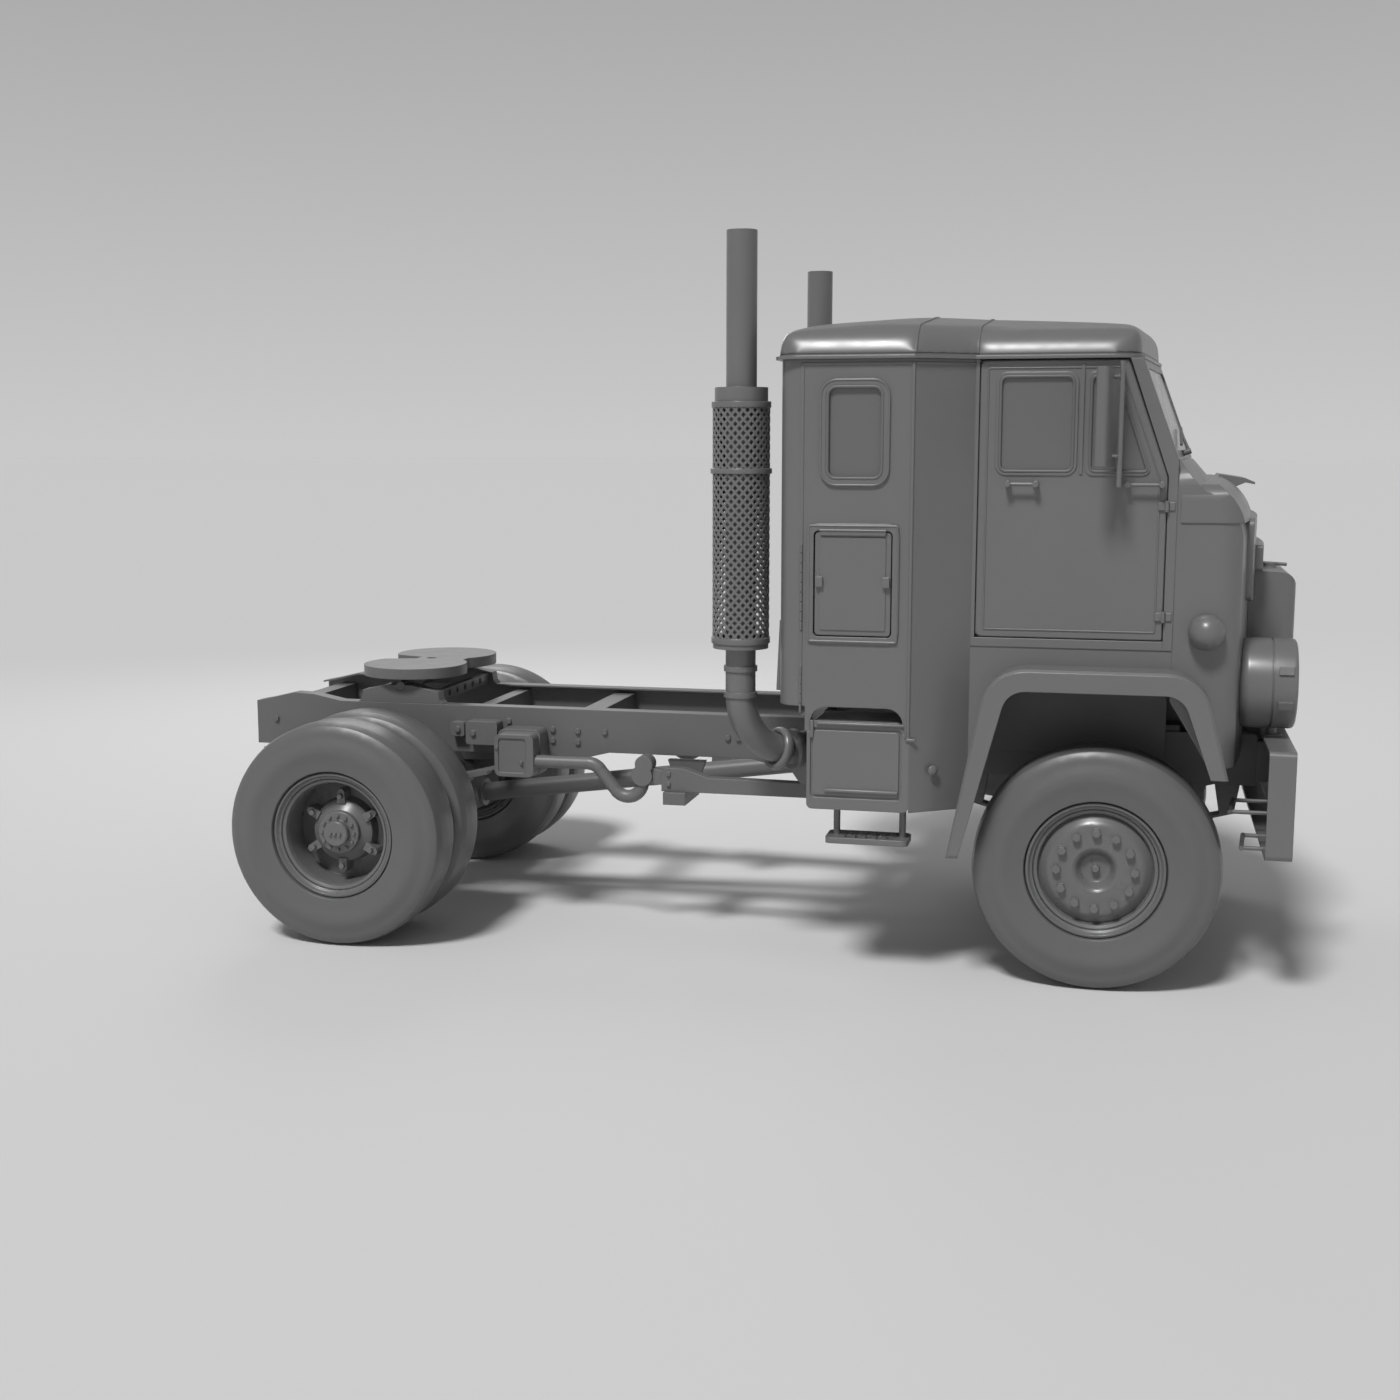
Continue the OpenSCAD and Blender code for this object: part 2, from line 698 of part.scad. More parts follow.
module nose() {
  color(body_grey) {
    difference() {
      nose_outside();
      nose_form(nose_wall);
      // Clearance over the frame rails
      block([nose_front - 180, -rail_y - 8, nose_low - 40], [nose_front + 1, rail_y + 8, rail_top + 6]);
      // Wheel arch in the lower rear corner of each side
      both_sides() across(-cab_y - 1, -cab_y + 260)
        polygon([[nose_rear - 5, nose_low - 5], [arch_in_front_low, nose_low - 5],
          [arch_in_front_top, arch_top - 110], [nose_rear - 5, arch_top - 40]]);
    }
    both_sides() pillar();
    hood_flap();
    both_sides() screen_frame();
  }
}

// Fresh-air flap on the middle of the hood
flap_half = 170;

module hood_flap() {
  across(-flap_half, flap_half)
    polygon([[nose_rear + 190, hood_z - 20], [nose_rear + 205, hood_z - 4],
      [nose_rear + 320, hood_z - 22], [nose_rear + 362, hood_z - 40], [nose_rear + 362, hood_z - 50],
      [nose_rear + 320, hood_z - 42], [nose_rear + 270, hood_z - 64]]);
}

// Right door jamb and windscreen pillar, with the fixed hinge leaves and the rebate behind the door
module pillar() {
  for (z = hinge_table)
    block([hinge_x + hinge_r + 1, -cab_y - leaf_out, z - leaf_half],
      [nose_rear - 8, -cab_y + 1, z + leaf_half]);
  across(-cab_y - frame_proud, -cab_y + wall)
    polygon([[jamb_x, sill_z], [nose_rear, sill_z], [nose_rear, screen_z],
      [screen_x - 82 - (gutter_z - screen_z) * tan(screen_lean), gutter_z], [slant_x + gap + 4, gutter_z],
      [jamb_x, belt_z + 4]]);
  across(-cab_y + rebate_y, -cab_y + rebate_y + rebate_t)
    polygon(concat(pillar_strip(gap + 26), pillar_back(-rebate_lap)));
  across(-cab_y + wall - 1, -cab_y + rebate_y + 1)
    polygon(concat(pillar_strip(gap + 26), pillar_back(gap + 8)));
}

// Lines that follow the door's front edge at distance x ahead of it, upward and then downward
function pillar_strip(x) = [[door_front + x, door_z - 25], [door_front + x, belt_z + 4],
  [slant_x + x + 4, gutter_z]];
function pillar_back(x) = [[slant_x + x, gutter_z], [door_front + x, belt_z],
  [door_front + x, door_z - 25]];

// Right half of the windscreen's frame, a leaning plate with a round-cornered opening
module screen_place() {
  translate([screen_x, 0, screen_z]) rotate([0, 0, -screen_sweep]) rotate([0, -screen_lean,
    0]) children();
}

screen_half = cab_y - wall - 4;

module screen_opening() {
  polygon(round_box(62 - screen_half, 40, -34, screen_h - 36, 50));
}

module screen_frame() {
  intersection() {
    screen_place() difference() {
      along(-wall, 0) polygon([[60, -60], [60, screen_h + 60], [-screen_half - 80, screen_h + 60],
        [-screen_half - 80, -60]]);
      along(-wall - 1, 1) screen_opening();
    }
    block([nose_rear - 400, -cab_y + wall, screen_z], [nose_front, 0, gutter_z]);
  }
}

// Glass that does not move: the two windscreen panes and the sleeper's side windows
module fixed_glass() {
  color(glass_grey) both_sides() {
    screen_place() along(-glass_set - glass_t, -glass_set) screen_opening();
    across(-sleeper_y + glass_set, -sleeper_y + glass_set + glass_t) polygon(sleeper_window(0));
  }
}

// Wipers: a spindle, an arm and a blade at the foot of each pane
wiper_y = 560;

module wipers() {
  color(frame_grey) both_sides() screen_place() {
    translate([0, -wiper_y, 24]) rotate([0, 90, 0]) cylinder(r = 13, h = 36);
    bar([28, -wiper_y, 24], [12, -wiper_y + 170, 104], 7);
    along(3, 14) polygon([[-wiper_y - 60, 66], [-wiper_y - 56, 56], [-wiper_y + 330, 134],
      [-wiper_y + 328, 146]]);
  }
}

// Grille shell with its bars, standing ahead of the nose
grille_wall = 26;
grille_edge = 60;
grille_rear = nose_front - 30;

module grille() {
  color(body_grey) {
    difference() {
      grille_form(0);
      grille_form(grille_wall);
      along(grille_face - 60, grille_face + 1)
        polygon(round_box(-grille_w / 2 + grille_edge, grille_low + 70, grille_w / 2 - grille_edge,
          grille_high - 90, 40));
      translate([1, 0, 0]) nose_outside();
    }
    for (i = [1:grille_bars])
      let (z = grille_low + 70 + i * (grille_high - grille_low - 160) / (grille_bars + 1))
        across(-grille_w / 2 + 40, grille_w / 2 - 40)
          polygon([[grille_face - 46, z - 14], [grille_face - 20, z - 8], [grille_face - 20, z + 8],
            [grille_face - 46, z + 14]]);
    filler_cap();
  }
}

function grille_side(t) = concat([[grille_rear - min(t, 1), grille_low + t],
  [grille_face - t, grille_low + t]], arc(grille_face - 70, grille_high - 70, 70 - t, 0, 90, 6),
  [[grille_rear - min(t, 1), grille_high + 6 - t]]);

module grille_form(t) {
  intersection() {
    across(-grille_w / 2 + t, grille_w / 2 - t) polygon(grille_side(t));
    upward(grille_low - 1, grille_high + 20)
      polygon(concat(arc(grille_face - grille_edge, -grille_w / 2 + grille_edge, grille_edge - t, -90, 0,
        6), arc(grille_face - grille_edge, grille_w / 2 - grille_edge, grille_edge - t, 0, 90, 6),
        [[grille_rear - 2, grille_w / 2 - t], [grille_rear - 2, -grille_w / 2 + t]]));
  }
}

// Radiator filler cap with a lever, on top of the shell
module filler_cap() {
  translate([grille_face - 95, 0, grille_high - 4]) cylinder(r = 30, h = 24);
  bar([grille_face - 130, 0, grille_high + 18], [grille_face - 20, 0, grille_high + 12], 8);
}

// Headlamp pods on posts from the bumper: profile of [radius, distance from the rim]
lamp_z = 1345;
lamp_face = grille_face - 20;
lamp_l = lamp_face - nose_front + 70;
lamp_seam = 103;
lamp_post = lamp_z - grille_low;
clip_turn = 22;

function lamp_points(r) = [[0, 14], [r - 34, 14], [r - 30, 2], [r - 14, 0], [r - 4, 6], [r, 18],
  [r, lamp_seam - 4], [r - 6, lamp_seam - 4], [r - 6, lamp_seam + 4], [r, lamp_seam + 4],
  [r, lamp_l - 50], [r - 10, lamp_l - 22], [r - 34, lamp_l], [0, lamp_l]];

module headlamps() {
  color(body_grey) both_sides() {
    difference() {
      translate([lamp_face, -lamp_span / 2, lamp_z]) rotate([0, -90, 0])
        rotate_extrude() polygon(lamp_points(lamp_d / 2));
      nose_form(0);
    }
    translate([lamp_face, -lamp_span / 2, lamp_z]) {
      for (a = [-clip_turn, clip_turn]) rotate([a, 0, 0])
        block([-80, -lamp_d / 2 - 8, -18], [-20, 4 - lamp_d / 2, 18]);
      translate([-90, 0, -lamp_post]) cylinder(r = 22, h = lamp_post - lamp_d / 2 + 12);
      translate([-90, 0, -lamp_post]) cylinder(r = 46, h = 10);
    }
  }
}

// Ball-shaped marker lamps on the nose's sides
side_lamp_r = 77;
side_lamp_z = 1596;
side_lamp_sink = 28;

module side_lamps() {
  color(body_grey) both_sides() turned(nose_rear + 138, -cab_y, side_lamp_z, concat([[0, 0],
    [side_lamp_r - 4, 0]], arc(0, side_lamp_sink, side_lamp_r, 0, 84, 7),
    [[0, side_lamp_sink + side_lamp_r * sin(84)]]));
}

// Cab body

// Wheel-arch opening on the right side: corners in X and Z
arch_in_rear_low = front_axle - 584;
arch_in_rear_top = front_axle - 372;
arch_in_front_top = front_axle + 326;
arch_in_front_low = front_axle + 460;
arch_low = 597;
arch_r = 100;
arch_in = 60;
flare_band = 95;
flare_out = sleeper_y;
flare_t = 12;
flare_end = nose_low - 20;

// Outline of the arch down past the ground line, grown outward by g
function arch_fill(g) = concat(arc(arch_in_rear_top + arch_in, arch_top - arch_r, arch_r + g, 166, 90, 6),
  arc(arch_in_front_top - arch_in, arch_top - arch_r, arch_r + g, 90, 22, 6),
  [[arch_in_front_low + g * 0.75, flare_end], [arch_in_front_low + g * 0.75, flare_end - 280],
  [front_axle, arch_low - 200], [arch_in_rear_low - g * 0.55, arch_low - 200],
  [arch_in_rear_low - g * 0.55, arch_low]]);

module fender_flares() {
  color(body_grey) both_sides() intersection() {
    union() {
      difference() {
        across(-flare_out, -cab_y) polygon(arch_fill(flare_band));
        across(-flare_out - 1, -cab_y + 1) polygon(arch_fill(flare_band - flare_t));
      }
      difference() {
        across(-flare_out, -flare_out + flare_t) polygon(arch_fill(flare_band));
        across(-flare_out - 1, -flare_out + flare_t + 1) polygon(arch_fill(0));
      }
    }
    union() {
      block([arch_in_rear_low - 300, -flare_out - 1, arch_low], [front_axle, 0, belt_z]);
      block([front_axle, -flare_out - 1, flare_end], [nose_front, 0, belt_z]);
    }
  }
}

// Right side: shoulder panel from sleeper to door post, the sill over the wheel arch, and the door's frame
module cab_sides() {
  color(body_grey) both_sides() {
    difference() {
      union() {
        upward(locker_z, gutter_z)
          polygon([[sleeper_front, -sleeper_y], [post_rear, -cab_y], [post_x, -cab_y],
            [post_x, -cab_y + wall], [post_rear - 8, -cab_y + wall],
            [sleeper_front, -sleeper_y + wall + 6]]);
        across(-cab_y, -cab_y + wall)
          polygon([[post_x, door_z - gap], [post_x, locker_z], [front_axle, locker_z],
            [nose_rear, arch_top - 60], [nose_rear, sill_z], [jamb_x, sill_z], [jamb_x, door_z - gap]]);
      }
      across(-sleeper_y - 1, 0) polygon(arch_fill(flare_band - flare_t));
      across(-sleeper_y - 1, -cab_y) polygon(arch_fill(flare_band));
    }
    // Raised frame beside and below the door
    across(-cab_y - frame_proud, -cab_y + 1)
      polygon([[post_rear, gutter_z], [post_rear, sill_z], [jamb_x, sill_z], [jamb_x, door_z - gap],
        [post_x, door_z - gap], [post_x, gutter_z]]);
    door_rebate();
  }
}

// Strip behind the door's rear, lower and upper edges, on a root that joins it to the wall
module door_rebate() {
  rear = post_rear - 4;
  low = door_z - 25;
  front = door_front - rebate_lap;
  top_front = slant_x - rebate_lap - 6;
  across(-cab_y + rebate_y, -cab_y + rebate_y + rebate_t)
    polygon([[rear, gutter_z], [rear, low], [front, low], [front, door_z + rebate_lap],
      [door_rear + rebate_lap, door_z + rebate_lap], [door_rear + rebate_lap, door_top - rebate_lap],
      [top_front, door_top - rebate_lap], [top_front, gutter_z]]);
  across(-cab_y + wall - 1, -cab_y + rebate_y + 1)
    polygon([[rear, gutter_z], [rear, low], [front, low], [front, low + 14], [rear + post_w, low + 14],
      [rear + post_w, gutter_z]]);
}

// Window and hatch of the sleeper's side
window_bead = 26;

function sleeper_window(g) = round_box(sleeper_seam + 102 - g, gutter_z - 508 - g,
  sleeper_seam + 350 + g, gutter_z - 109 + g, 45 + g);

hatch_x = sleeper_seam + 60;
hatch_z = 1560;
hatch_proud = 10;
hatch_t = 24;
hatch_pin_r = 5;

function hatch_outline(g) = round_box(hatch_x - g, hatch_z - g, hatch_x + hatch_l + g,
  hatch_z + hatch_h + g, max(8, 16 + g));

side_low = 1135;
locker_rear = sleeper_seam + 30;
locker_front = sleeper_front;
well_top = 1245;
well_r = 70;

module sleeper_sides() {
  color(body_grey) both_sides() {
    difference() {
      union() {
        across(-sleeper_y, -sleeper_y + wall)
          polygon([[sleeper_seam, well_top], [sleeper_seam, gutter_z], [sleeper_front, gutter_z],
            [sleeper_front, side_low], [sleeper_seam + 20, side_low], [sleeper_seam + 20, well_top]]);
        across(-sleeper_y - hatch_proud, -sleeper_y + 1) {
          polygon(hatch_outline(hatch_rim));
          polygon(sleeper_window(window_bead));
        }
      }
      across(-sleeper_y - hatch_proud - 1, -sleeper_y + wall + 1) {
        polygon(sleeper_window(0));
        polygon(hatch_outline(gap));
        // Arched cut-out over the locker
        polygon(concat([[locker_rear + 14, side_low - 1]],
          arc(locker_rear + 14 + well_r, well_top - well_r, well_r, 180, 90),
          arc(locker_front - 30 - well_r, well_top - well_r, well_r, 90, 0),
          [[locker_front - 30, side_low - 1]]));
      }
    }
    // Rebate behind the hatch's edges
    across(-sleeper_y + hatch_t + 6, -sleeper_y + wall) difference() {
      polygon(hatch_outline(gap + 1));
      polygon(hatch_outline(-12));
    }
  }
}

// Plan outline of the sleeper's back wall with its rounded corners
function back_plan(t) = concat([[sleeper_seam + (t > 0 ? 1 : 0), sleeper_y - t]],
  arc(sleeper_seam, sleeper_y - sleeper_corner, sleeper_corner - t, 90, 180, 8),
  arc(sleeper_seam, -sleeper_y + sleeper_corner, sleeper_corner - t, 180, 270, 8),
  [[sleeper_seam + (t > 0 ? 1 : 0), -sleeper_y + t]]);

rib_count = 4;
rib_pitch = 320;
stay_y = sleeper_y - 200;
stay_top = 1600;

module sleeper_back() {
  color(body_grey) {
    difference() {
      upward(sleeper_floor_z, gutter_z) polygon(back_plan(0));
      upward(sleeper_floor_z - 1, gutter_z + 1) polygon(back_plan(wall));
    }
    // Pressed ribs across the back
    for (i = [0:rib_count - 1])
      let (z = sleeper_floor_z + 250 + i * rib_pitch)
        block([sleeper_rear - 10, -stay_y - 20, z], [sleeper_rear + 1, stay_y + 20, z + 40]);
    // Slim air-line stays behind the wall
    both_sides() {
      bar([sleeper_rear - 12, -stay_y, stay_top], [sleeper_rear - 26, -stay_y, sleeper_floor_z + 40], 12);
      for (z = [stay_top - 10, sleeper_floor_z + 50])
        bar([sleeper_rear + 2, -stay_y, z], [sleeper_rear - 20, -stay_y, z], 9);
    }
  }
}

// Roof: a crowned top that falls to the front and the rear, with round shoulders over cab and sleeper
gutter_out = 10;
drip_out = 14;
drip_h = 14;
roof_t = 36;
roof_front = screen_x - (gutter_z - screen_z) * tan(screen_lean) - 10;
roof_corner = 130;
roof_rear_r = 150;
crown_r = 8300;
crown_fall_front = 2.8;
crown_fall_rear = 3.1;
sleeper_edge = 150;
cab_edge = 130;
front_edge = 100;
front_edge_z = gutter_z + 64;
shoulder_turn = atan2(sleeper_y - cab_y, shoulder_l);

// Plan outline, drawn in by t: swept front, cab, shoulders and sleeper
function roof_half_plan(t) = let (s = sleeper_y + gutter_out - t, c = cab_y + gutter_out - t,
  f = roof_front - t, w = c - roof_corner)
    concat([[f, 0]], arc(f - w * tan(screen_sweep) - roof_corner, w, roof_corner, 0, 90, 8),
      [[post_rear, c], [sleeper_front, s]],
      arc(sleeper_rear - gutter_out + t + sleeper_corner, s - sleeper_corner, sleeper_corner, 90, 180,
      8));

function roof_plan(t) = let (half = roof_half_plan(t), n = len(half))
  concat(half, [for (i = [1:n - 1]) [half[n - i][0], -half[n - i][1]]]);

// Half of a front outline with its shoulder at y = 0 and the roof's middle far to the left, drawn in by t
function shoulder_half(r, t) = concat([[-2 * sleeper_w, gutter_z - 2 * t], [-t, gutter_z - 2 * t]],
  arc(-r, gutter_z, r - t, 0, 83, 8), [[-sleeper_w / 2, gutter_z + r + 140],
  [-2 * sleeper_w, gutter_z + r + 140]]);

// A solid that keeps the roof inside one shoulder line: it passes (x, y) and turns by a in plan
module shoulder_cut(x, y, a, r, t) {
  translate([x, y, 0]) rotate([0, 0, a]) along(-overall_l, overall_l) polygon(shoulder_half(r, t));
}

module both_shoulders(x, y, a, r, t) {
  intersection() {
    shoulder_cut(x, y, -a, r, t);
    mirror([0, 1, 0]) shoulder_cut(x, y, -a, r, t);
  }
}

// Side outline of the front or rear edge with its face at x = 0, drawn in by t
function roof_edge(r, z, t) = concat([[-2 * sleeper_w, gutter_z - 2 * t], [-t, gutter_z - 2 * t]],
  arc(-r, z, r - t, 0, 84, 8), [[-sleeper_w / 2, z + r + 150], [-2 * sleeper_w, z + r + 150]]);

module crown(fall, t) {
  translate([sleeper_front, 0, gutter_z + roof_rise - crown_r]) rotate([0, 90 + fall, 0])
    cylinder(r = crown_r - t, h = 2 * overall_l, center = true, $fn = 720);
}

module roof_form(t) {
  intersection() {
    upward(gutter_z - 3 * t, gutter_z + roof_rise + 1) polygon(roof_plan(t));
    crown(crown_fall_front, t);
    crown(-crown_fall_rear, t);
    both_shoulders(0, sleeper_y + gutter_out, 0, sleeper_edge, t);
    union() {
      both_shoulders(0, cab_y + gutter_out, 0, cab_edge, t);
      both_shoulders(post_rear, cab_y + gutter_out, shoulder_turn, sleeper_edge, t);
    }
    both_sides() translate([roof_front, 0, 0]) rotate([0, 0, -screen_sweep])
      across(-sleeper_w, 200) polygon(roof_edge(front_edge, front_edge_z, t));
    translate([sleeper_rear - gutter_out, 0, 0]) mirror([1, 0, 0])
      across(-sleeper_w, sleeper_w) polygon(roof_edge(roof_rear_r, gutter_z + 30, t));
  }
}

module roof() {
  color(body_grey) {
    difference() {
      roof_form(0);
      roof_form(roof_t);
    }
    // Drip rail round the foot of the roof
    difference() {
      upward(gutter_z, gutter_z + drip_h) polygon(roof_plan(-drip_out));
      upward(gutter_z - 1, gutter_z + drip_h + 1) polygon(roof_plan(roof_t));
    }
  }
}

// Floors of cab and sleeper, the step between them, and the aprons beside the engine
module cab_floor() {
  step_x = post_rear - 30;
  top = sleeper_floor_z + floor_t;
  color(body_grey) {
    block([step_x, -cab_y + wall, floor_z], [nose_rear, cab_y - wall, floor_z + floor_t]);
    block([sleeper_rear + wall, -sleeper_y + sleeper_corner, sleeper_floor_z],
      [sleeper_seam + 30, sleeper_y - sleeper_corner, top]);
    block([sleeper_seam + 30, -sleeper_y + wall, sleeper_floor_z],
      [sleeper_front, sleeper_y - wall, top]);
    upward(sleeper_floor_z, top)
      polygon([[sleeper_front, -sleeper_y + wall + 6], [post_rear - 8, -cab_y + wall],
        [step_x + floor_t, -cab_y + wall], [step_x + floor_t, cab_y - wall],
        [post_rear - 8, cab_y - wall], [sleeper_front, sleeper_y - wall - 6]]);
    block([step_x, -cab_y + wall, top], [step_x + floor_t, cab_y - wall, floor_z]);
    both_sides() block([post_rear, -apron_y - apron_t, apron_z], [nose_rear, -apron_y, floor_z]);
  }
}

// Lockers below the sleeper, each with its rounded lid edge, bearers to the rail, and a hanging step
locker_r = 24;
lid_top = locker_z + locker_h - 30;
locker_in = locker_d - sleeper_y;

module lockers() {
  color(body_grey) both_sides() {
    difference() {
      across(-sleeper_y, locker_in)
        polygon(concat(arc(locker_front - locker_r, locker_z + locker_r, locker_r, 270, 360),
          [[locker_front, side_low], [locker_front - 30, side_low]],
          arc(locker_front - 30 - locker_r, locker_z + locker_h - locker_r, locker_r, 0, 90),
          arc(locker_rear + 14 + locker_r, locker_z + locker_h - locker_r, locker_r, 90, 180),
          [[locker_rear + 14, side_low], [locker_rear, side_low]],
          arc(locker_rear + locker_r, locker_z + locker_r, locker_r, 180, 270)));
      // Shallow recess round the lid
      across(-sleeper_y - 1, -sleeper_y + 8) difference() {
        polygon(round_box(locker_rear + 16, locker_z + 52, locker_front - 32, lid_top, 20));
        polygon(round_box(locker_rear + 28, locker_z + 64, locker_front - 44, lid_top - 12, 14));
      }
    }
    for (x = [locker_rear + 10, locker_front - 90]) {
      block([x, locker_in, locker_z + 20], [x + 60, -rail_y, locker_z + 60]);
      block([x, -rail_y - 14, locker_z + 60], [x + 60, -rail_y, rail_top - 40]);
    }
    toe_board();
    hanging_step();
  }
}

// Board ahead of the locker that closes the foot of the shoulder panel
toe_l = 150;
toe_t = 18;

module toe_board() {
  in = (sleeper_y - cab_y) / shoulder_l;
  upward(locker_z, locker_z + toe_t)
    polygon([[locker_front, -sleeper_y + wall + 7],
      [locker_front + toe_l, -sleeper_y + wall + 7 + toe_l * in], [locker_front + toe_l, locker_in],
      [locker_front, locker_in]]);
}

step_l = 366;
step_w = 170;
step_t = 26;
hole_pitch = 46;

module hanging_step() {
  z = locker_z - step_drop - step_t;
  x0 = locker_front - step_l - 2;
  y0 = -sleeper_y + 10;
  for (x = [x0 + 42, x0 + step_l - 32])
    translate([x, y0 + step_w / 2, z + step_t]) cylinder(r = 15, h = step_drop);
  difference() {
    upward(z, z + step_t) polygon(round_box(x0, y0, x0 + step_l, y0 + step_w, 28));
    for (i = [0:4], j = [0:1])
      let (x = x0 + 84 + i * hole_pitch, y = y0 + 24 + j * 70)
        upward(z - 1, z + step_t + 1) polygon(round_box(x, y, x + 28, y + 52, 10));
  }
}

// Exhaust

shield_low = 1493;
shield_high = 2564;
shield_t = 8;
stack_x = sleeper_rear - 203;
stack_y = stack_span / 2;
elbow_turn = 45;
flange_z = 980;

// Collars on the stack: [height, radius, length]
collar_table = [[shield_high, shield_d / 2 - 11, 61], [shield_low - 22, shield_d / 2 - 4, 22],
  [flange_z + elbow_r + 106, pipe_d / 2 + 8, 24], [flange_z + elbow_r - 12, pipe_d / 2 + 8, 24]];

module at_stack() {
  translate([stack_x, -stack_y, 0]) children();
}

module exhaust_stacks() {
  color(frame_grey) both_sides() difference() {
    at_stack() {
      translate([0, 0, flange_z + elbow_r]) cylinder(d = pipe_d, h = stack_top - flange_z - elbow_r);
      for (c = collar_table) translate([0, 0, c[0]]) cylinder(r = c[1], h = c[2]);
      elbow();
      elbow_bracket();
    }
    at_stack() translate([0, 0, shield_high]) cylinder(d = pipe_d - 8, h = stack_top);
    block([stack_x - 500, -rail_y, flange_z - 300], [stack_x + 1500, rail_y, flange_z + 300]);
  }
}

// Quarter bend, its flange, and the pipe that runs inboard to the frame
module elbow() {
  rotate([0, 0, elbow_turn]) translate([elbow_r, 0, flange_z]) {
    translate([0, 0, elbow_r]) rotate([90, 0, 0]) rotate([0, 0, 180])
      rotate_extrude(angle = 90) translate([elbow_r, 0]) circle(d = pipe_d);
    translate([-3, 0, 0]) rotate([0, 90, 0]) cylinder(r = pipe_d / 2 + 26, h = 27);
    rotate([0, 90, 0]) cylinder(r = pipe_d / 2 + 12, h = 800);
  }
}

// Pointed hanger plate with a round tip, behind the flange
module elbow_bracket() {
  translate([elbow_r * cos(elbow_turn) + 50, elbow_r * sin(elbow_turn) + 60, flange_z]) across(0, 12)
    polygon(concat([[110, 0], [-120, 0], [-120, -30]], arc(0, -140, 34, 215, 325), [[110, -70]]));
}

// Bands round the guard: [height, extra radius, length]
ring_table = [[shield_low, 3, 26], [shield_high - 316, 8, 22], [shield_high - 26, 3, 26]];

// Silencer guards: a tube between two rings, with a third ring part way up
module heat_shields() {
  color(frame_grey) both_sides() at_stack() {
    difference() {
      translate([0, 0, shield_low]) cylinder(d = shield_d, h = shield_high - shield_low);
      translate([0, 0, shield_low - 1]) cylinder(d = shield_d - 2 * shield_t,
        h = shield_high - shield_low + 2);
    }
    for (r = ring_table) translate([0, 0, r[0]]) difference() {
      cylinder(r = shield_d / 2 + r[1], h = r[2]);
      translate([0, 0, -1]) cylinder(r = shield_d / 2 - 1, h = r[2] + 2);
    }
  }
}

// Cab interior

dash_half = cab_y - wall - 20;
cover_half = 310;

module dashboard() {
  color(frame_grey) {
    block([jamb_x + 4, -dash_half, belt_z - 220], [nose_rear - 10, dash_half, belt_z - 40]);
    across(-dash_half, dash_half)
      polygon(concat([[nose_rear - 10, belt_z + 20], [nose_rear - 10, belt_z - 260],
        [nose_rear - 60, belt_z - 260]], arc(nose_rear - 150, belt_z - 20, 40, 200, 90),
        [[nose_rear - 60, belt_z + 30]]));
    // Side panels down to the floor
    both_sides() block([nose_rear - 50, 40 - dash_half, floor_z + floor_t],
      [nose_rear - 20, 300 - dash_half, belt_z - 250]);
    // Engine cover between the seats
    along(post_rear + 60, nose_rear - 62)
      polygon(concat([[-cover_half, floor_z + floor_t], [cover_half, floor_z + floor_t]],
        arc(cover_half - 90, floor_z + floor_t + 200, 80, 0, 90),
        arc(90 - cover_half, floor_z + floor_t + 200, 80, 90, 180)));
    // Steering column and the bracket that holds it
    across(driver_y - 60, driver_y + 60)
      polygon([[nose_rear - 150, belt_z - 20], [nose_rear - 60, belt_z - 250],
        [nose_rear - 90, belt_z - 340], [nose_rear - 215, belt_z - 150]]);
    bar(wheel_hub - 30 * column_dir, wheel_hub - 560 * column_dir, 28);
  }
}

driver_y = 620;
column_lean = 32;
column_dir = [-sin(column_lean), 0, cos(column_lean)];
wheel_hub = [door_front - 265, driver_y, belt_z + 10];
steer_d = 500;

module steering_wheel() {
  color(rubber_grey) translate(wheel_hub) rotate([0, -column_lean, 0]) {
    rotate_extrude() translate([steer_d / 2, 0]) circle(r = 15);
    translate([0, 0, -29]) cylinder(r = 46, h = 34);
    for (a = [90, 210, 330]) rotate([0, 0, a]) bar([30, 0, -8], [steer_d / 2, 0, 0], 10);
  }
}

// Seats: a pedestal, a cushion and a leaning back, measured from the floor below each seat's rear edge
seat_w = 480;
seat_x = door_rear - 60;
cushion_z = 250;
cushion_top = 400;
back_points = [[0, cushion_top], [150, cushion_top], [60, 1000], [-20, 1020], [-70, 990]];

module seats() {
  color(rubber_grey) for (s = [-1, 1]) translate([seat_x, s * driver_y, floor_z + floor_t]) {
    block([90, -170, 0], [430, 170, cushion_z]);
    across(-seat_w / 2, seat_w / 2) {
      polygon(round_box(20, cushion_z, 520, cushion_top, 50));
      polygon(back_points);
    }
  }
}

// Bunk: a board across the sleeper with its mattress
bunk_z = 2030;
board_t = 30;
mattress_t = 140;

module bunk() {
  color(rubber_grey) {
    block([sleeper_rear + wall, -sleeper_y + sleeper_corner, bunk_z],
      [sleeper_front, sleeper_y - sleeper_corner, bunk_z + board_t]);
    across(-sleeper_y + sleeper_corner + 20, sleeper_y - sleeper_corner - 20)
      polygon(round_box(sleeper_rear + wall + 8, bunk_z + board_t, sleeper_front - 10,
        bunk_z + board_t + mattress_t, 40));
  }
}

// Fifth wheel

plate_x = rear_axle + 43;
pivot_z = plate_z - plate_t - 40;
pivot_r = 24;
base_half = 230;
beam_tie_in = 165;

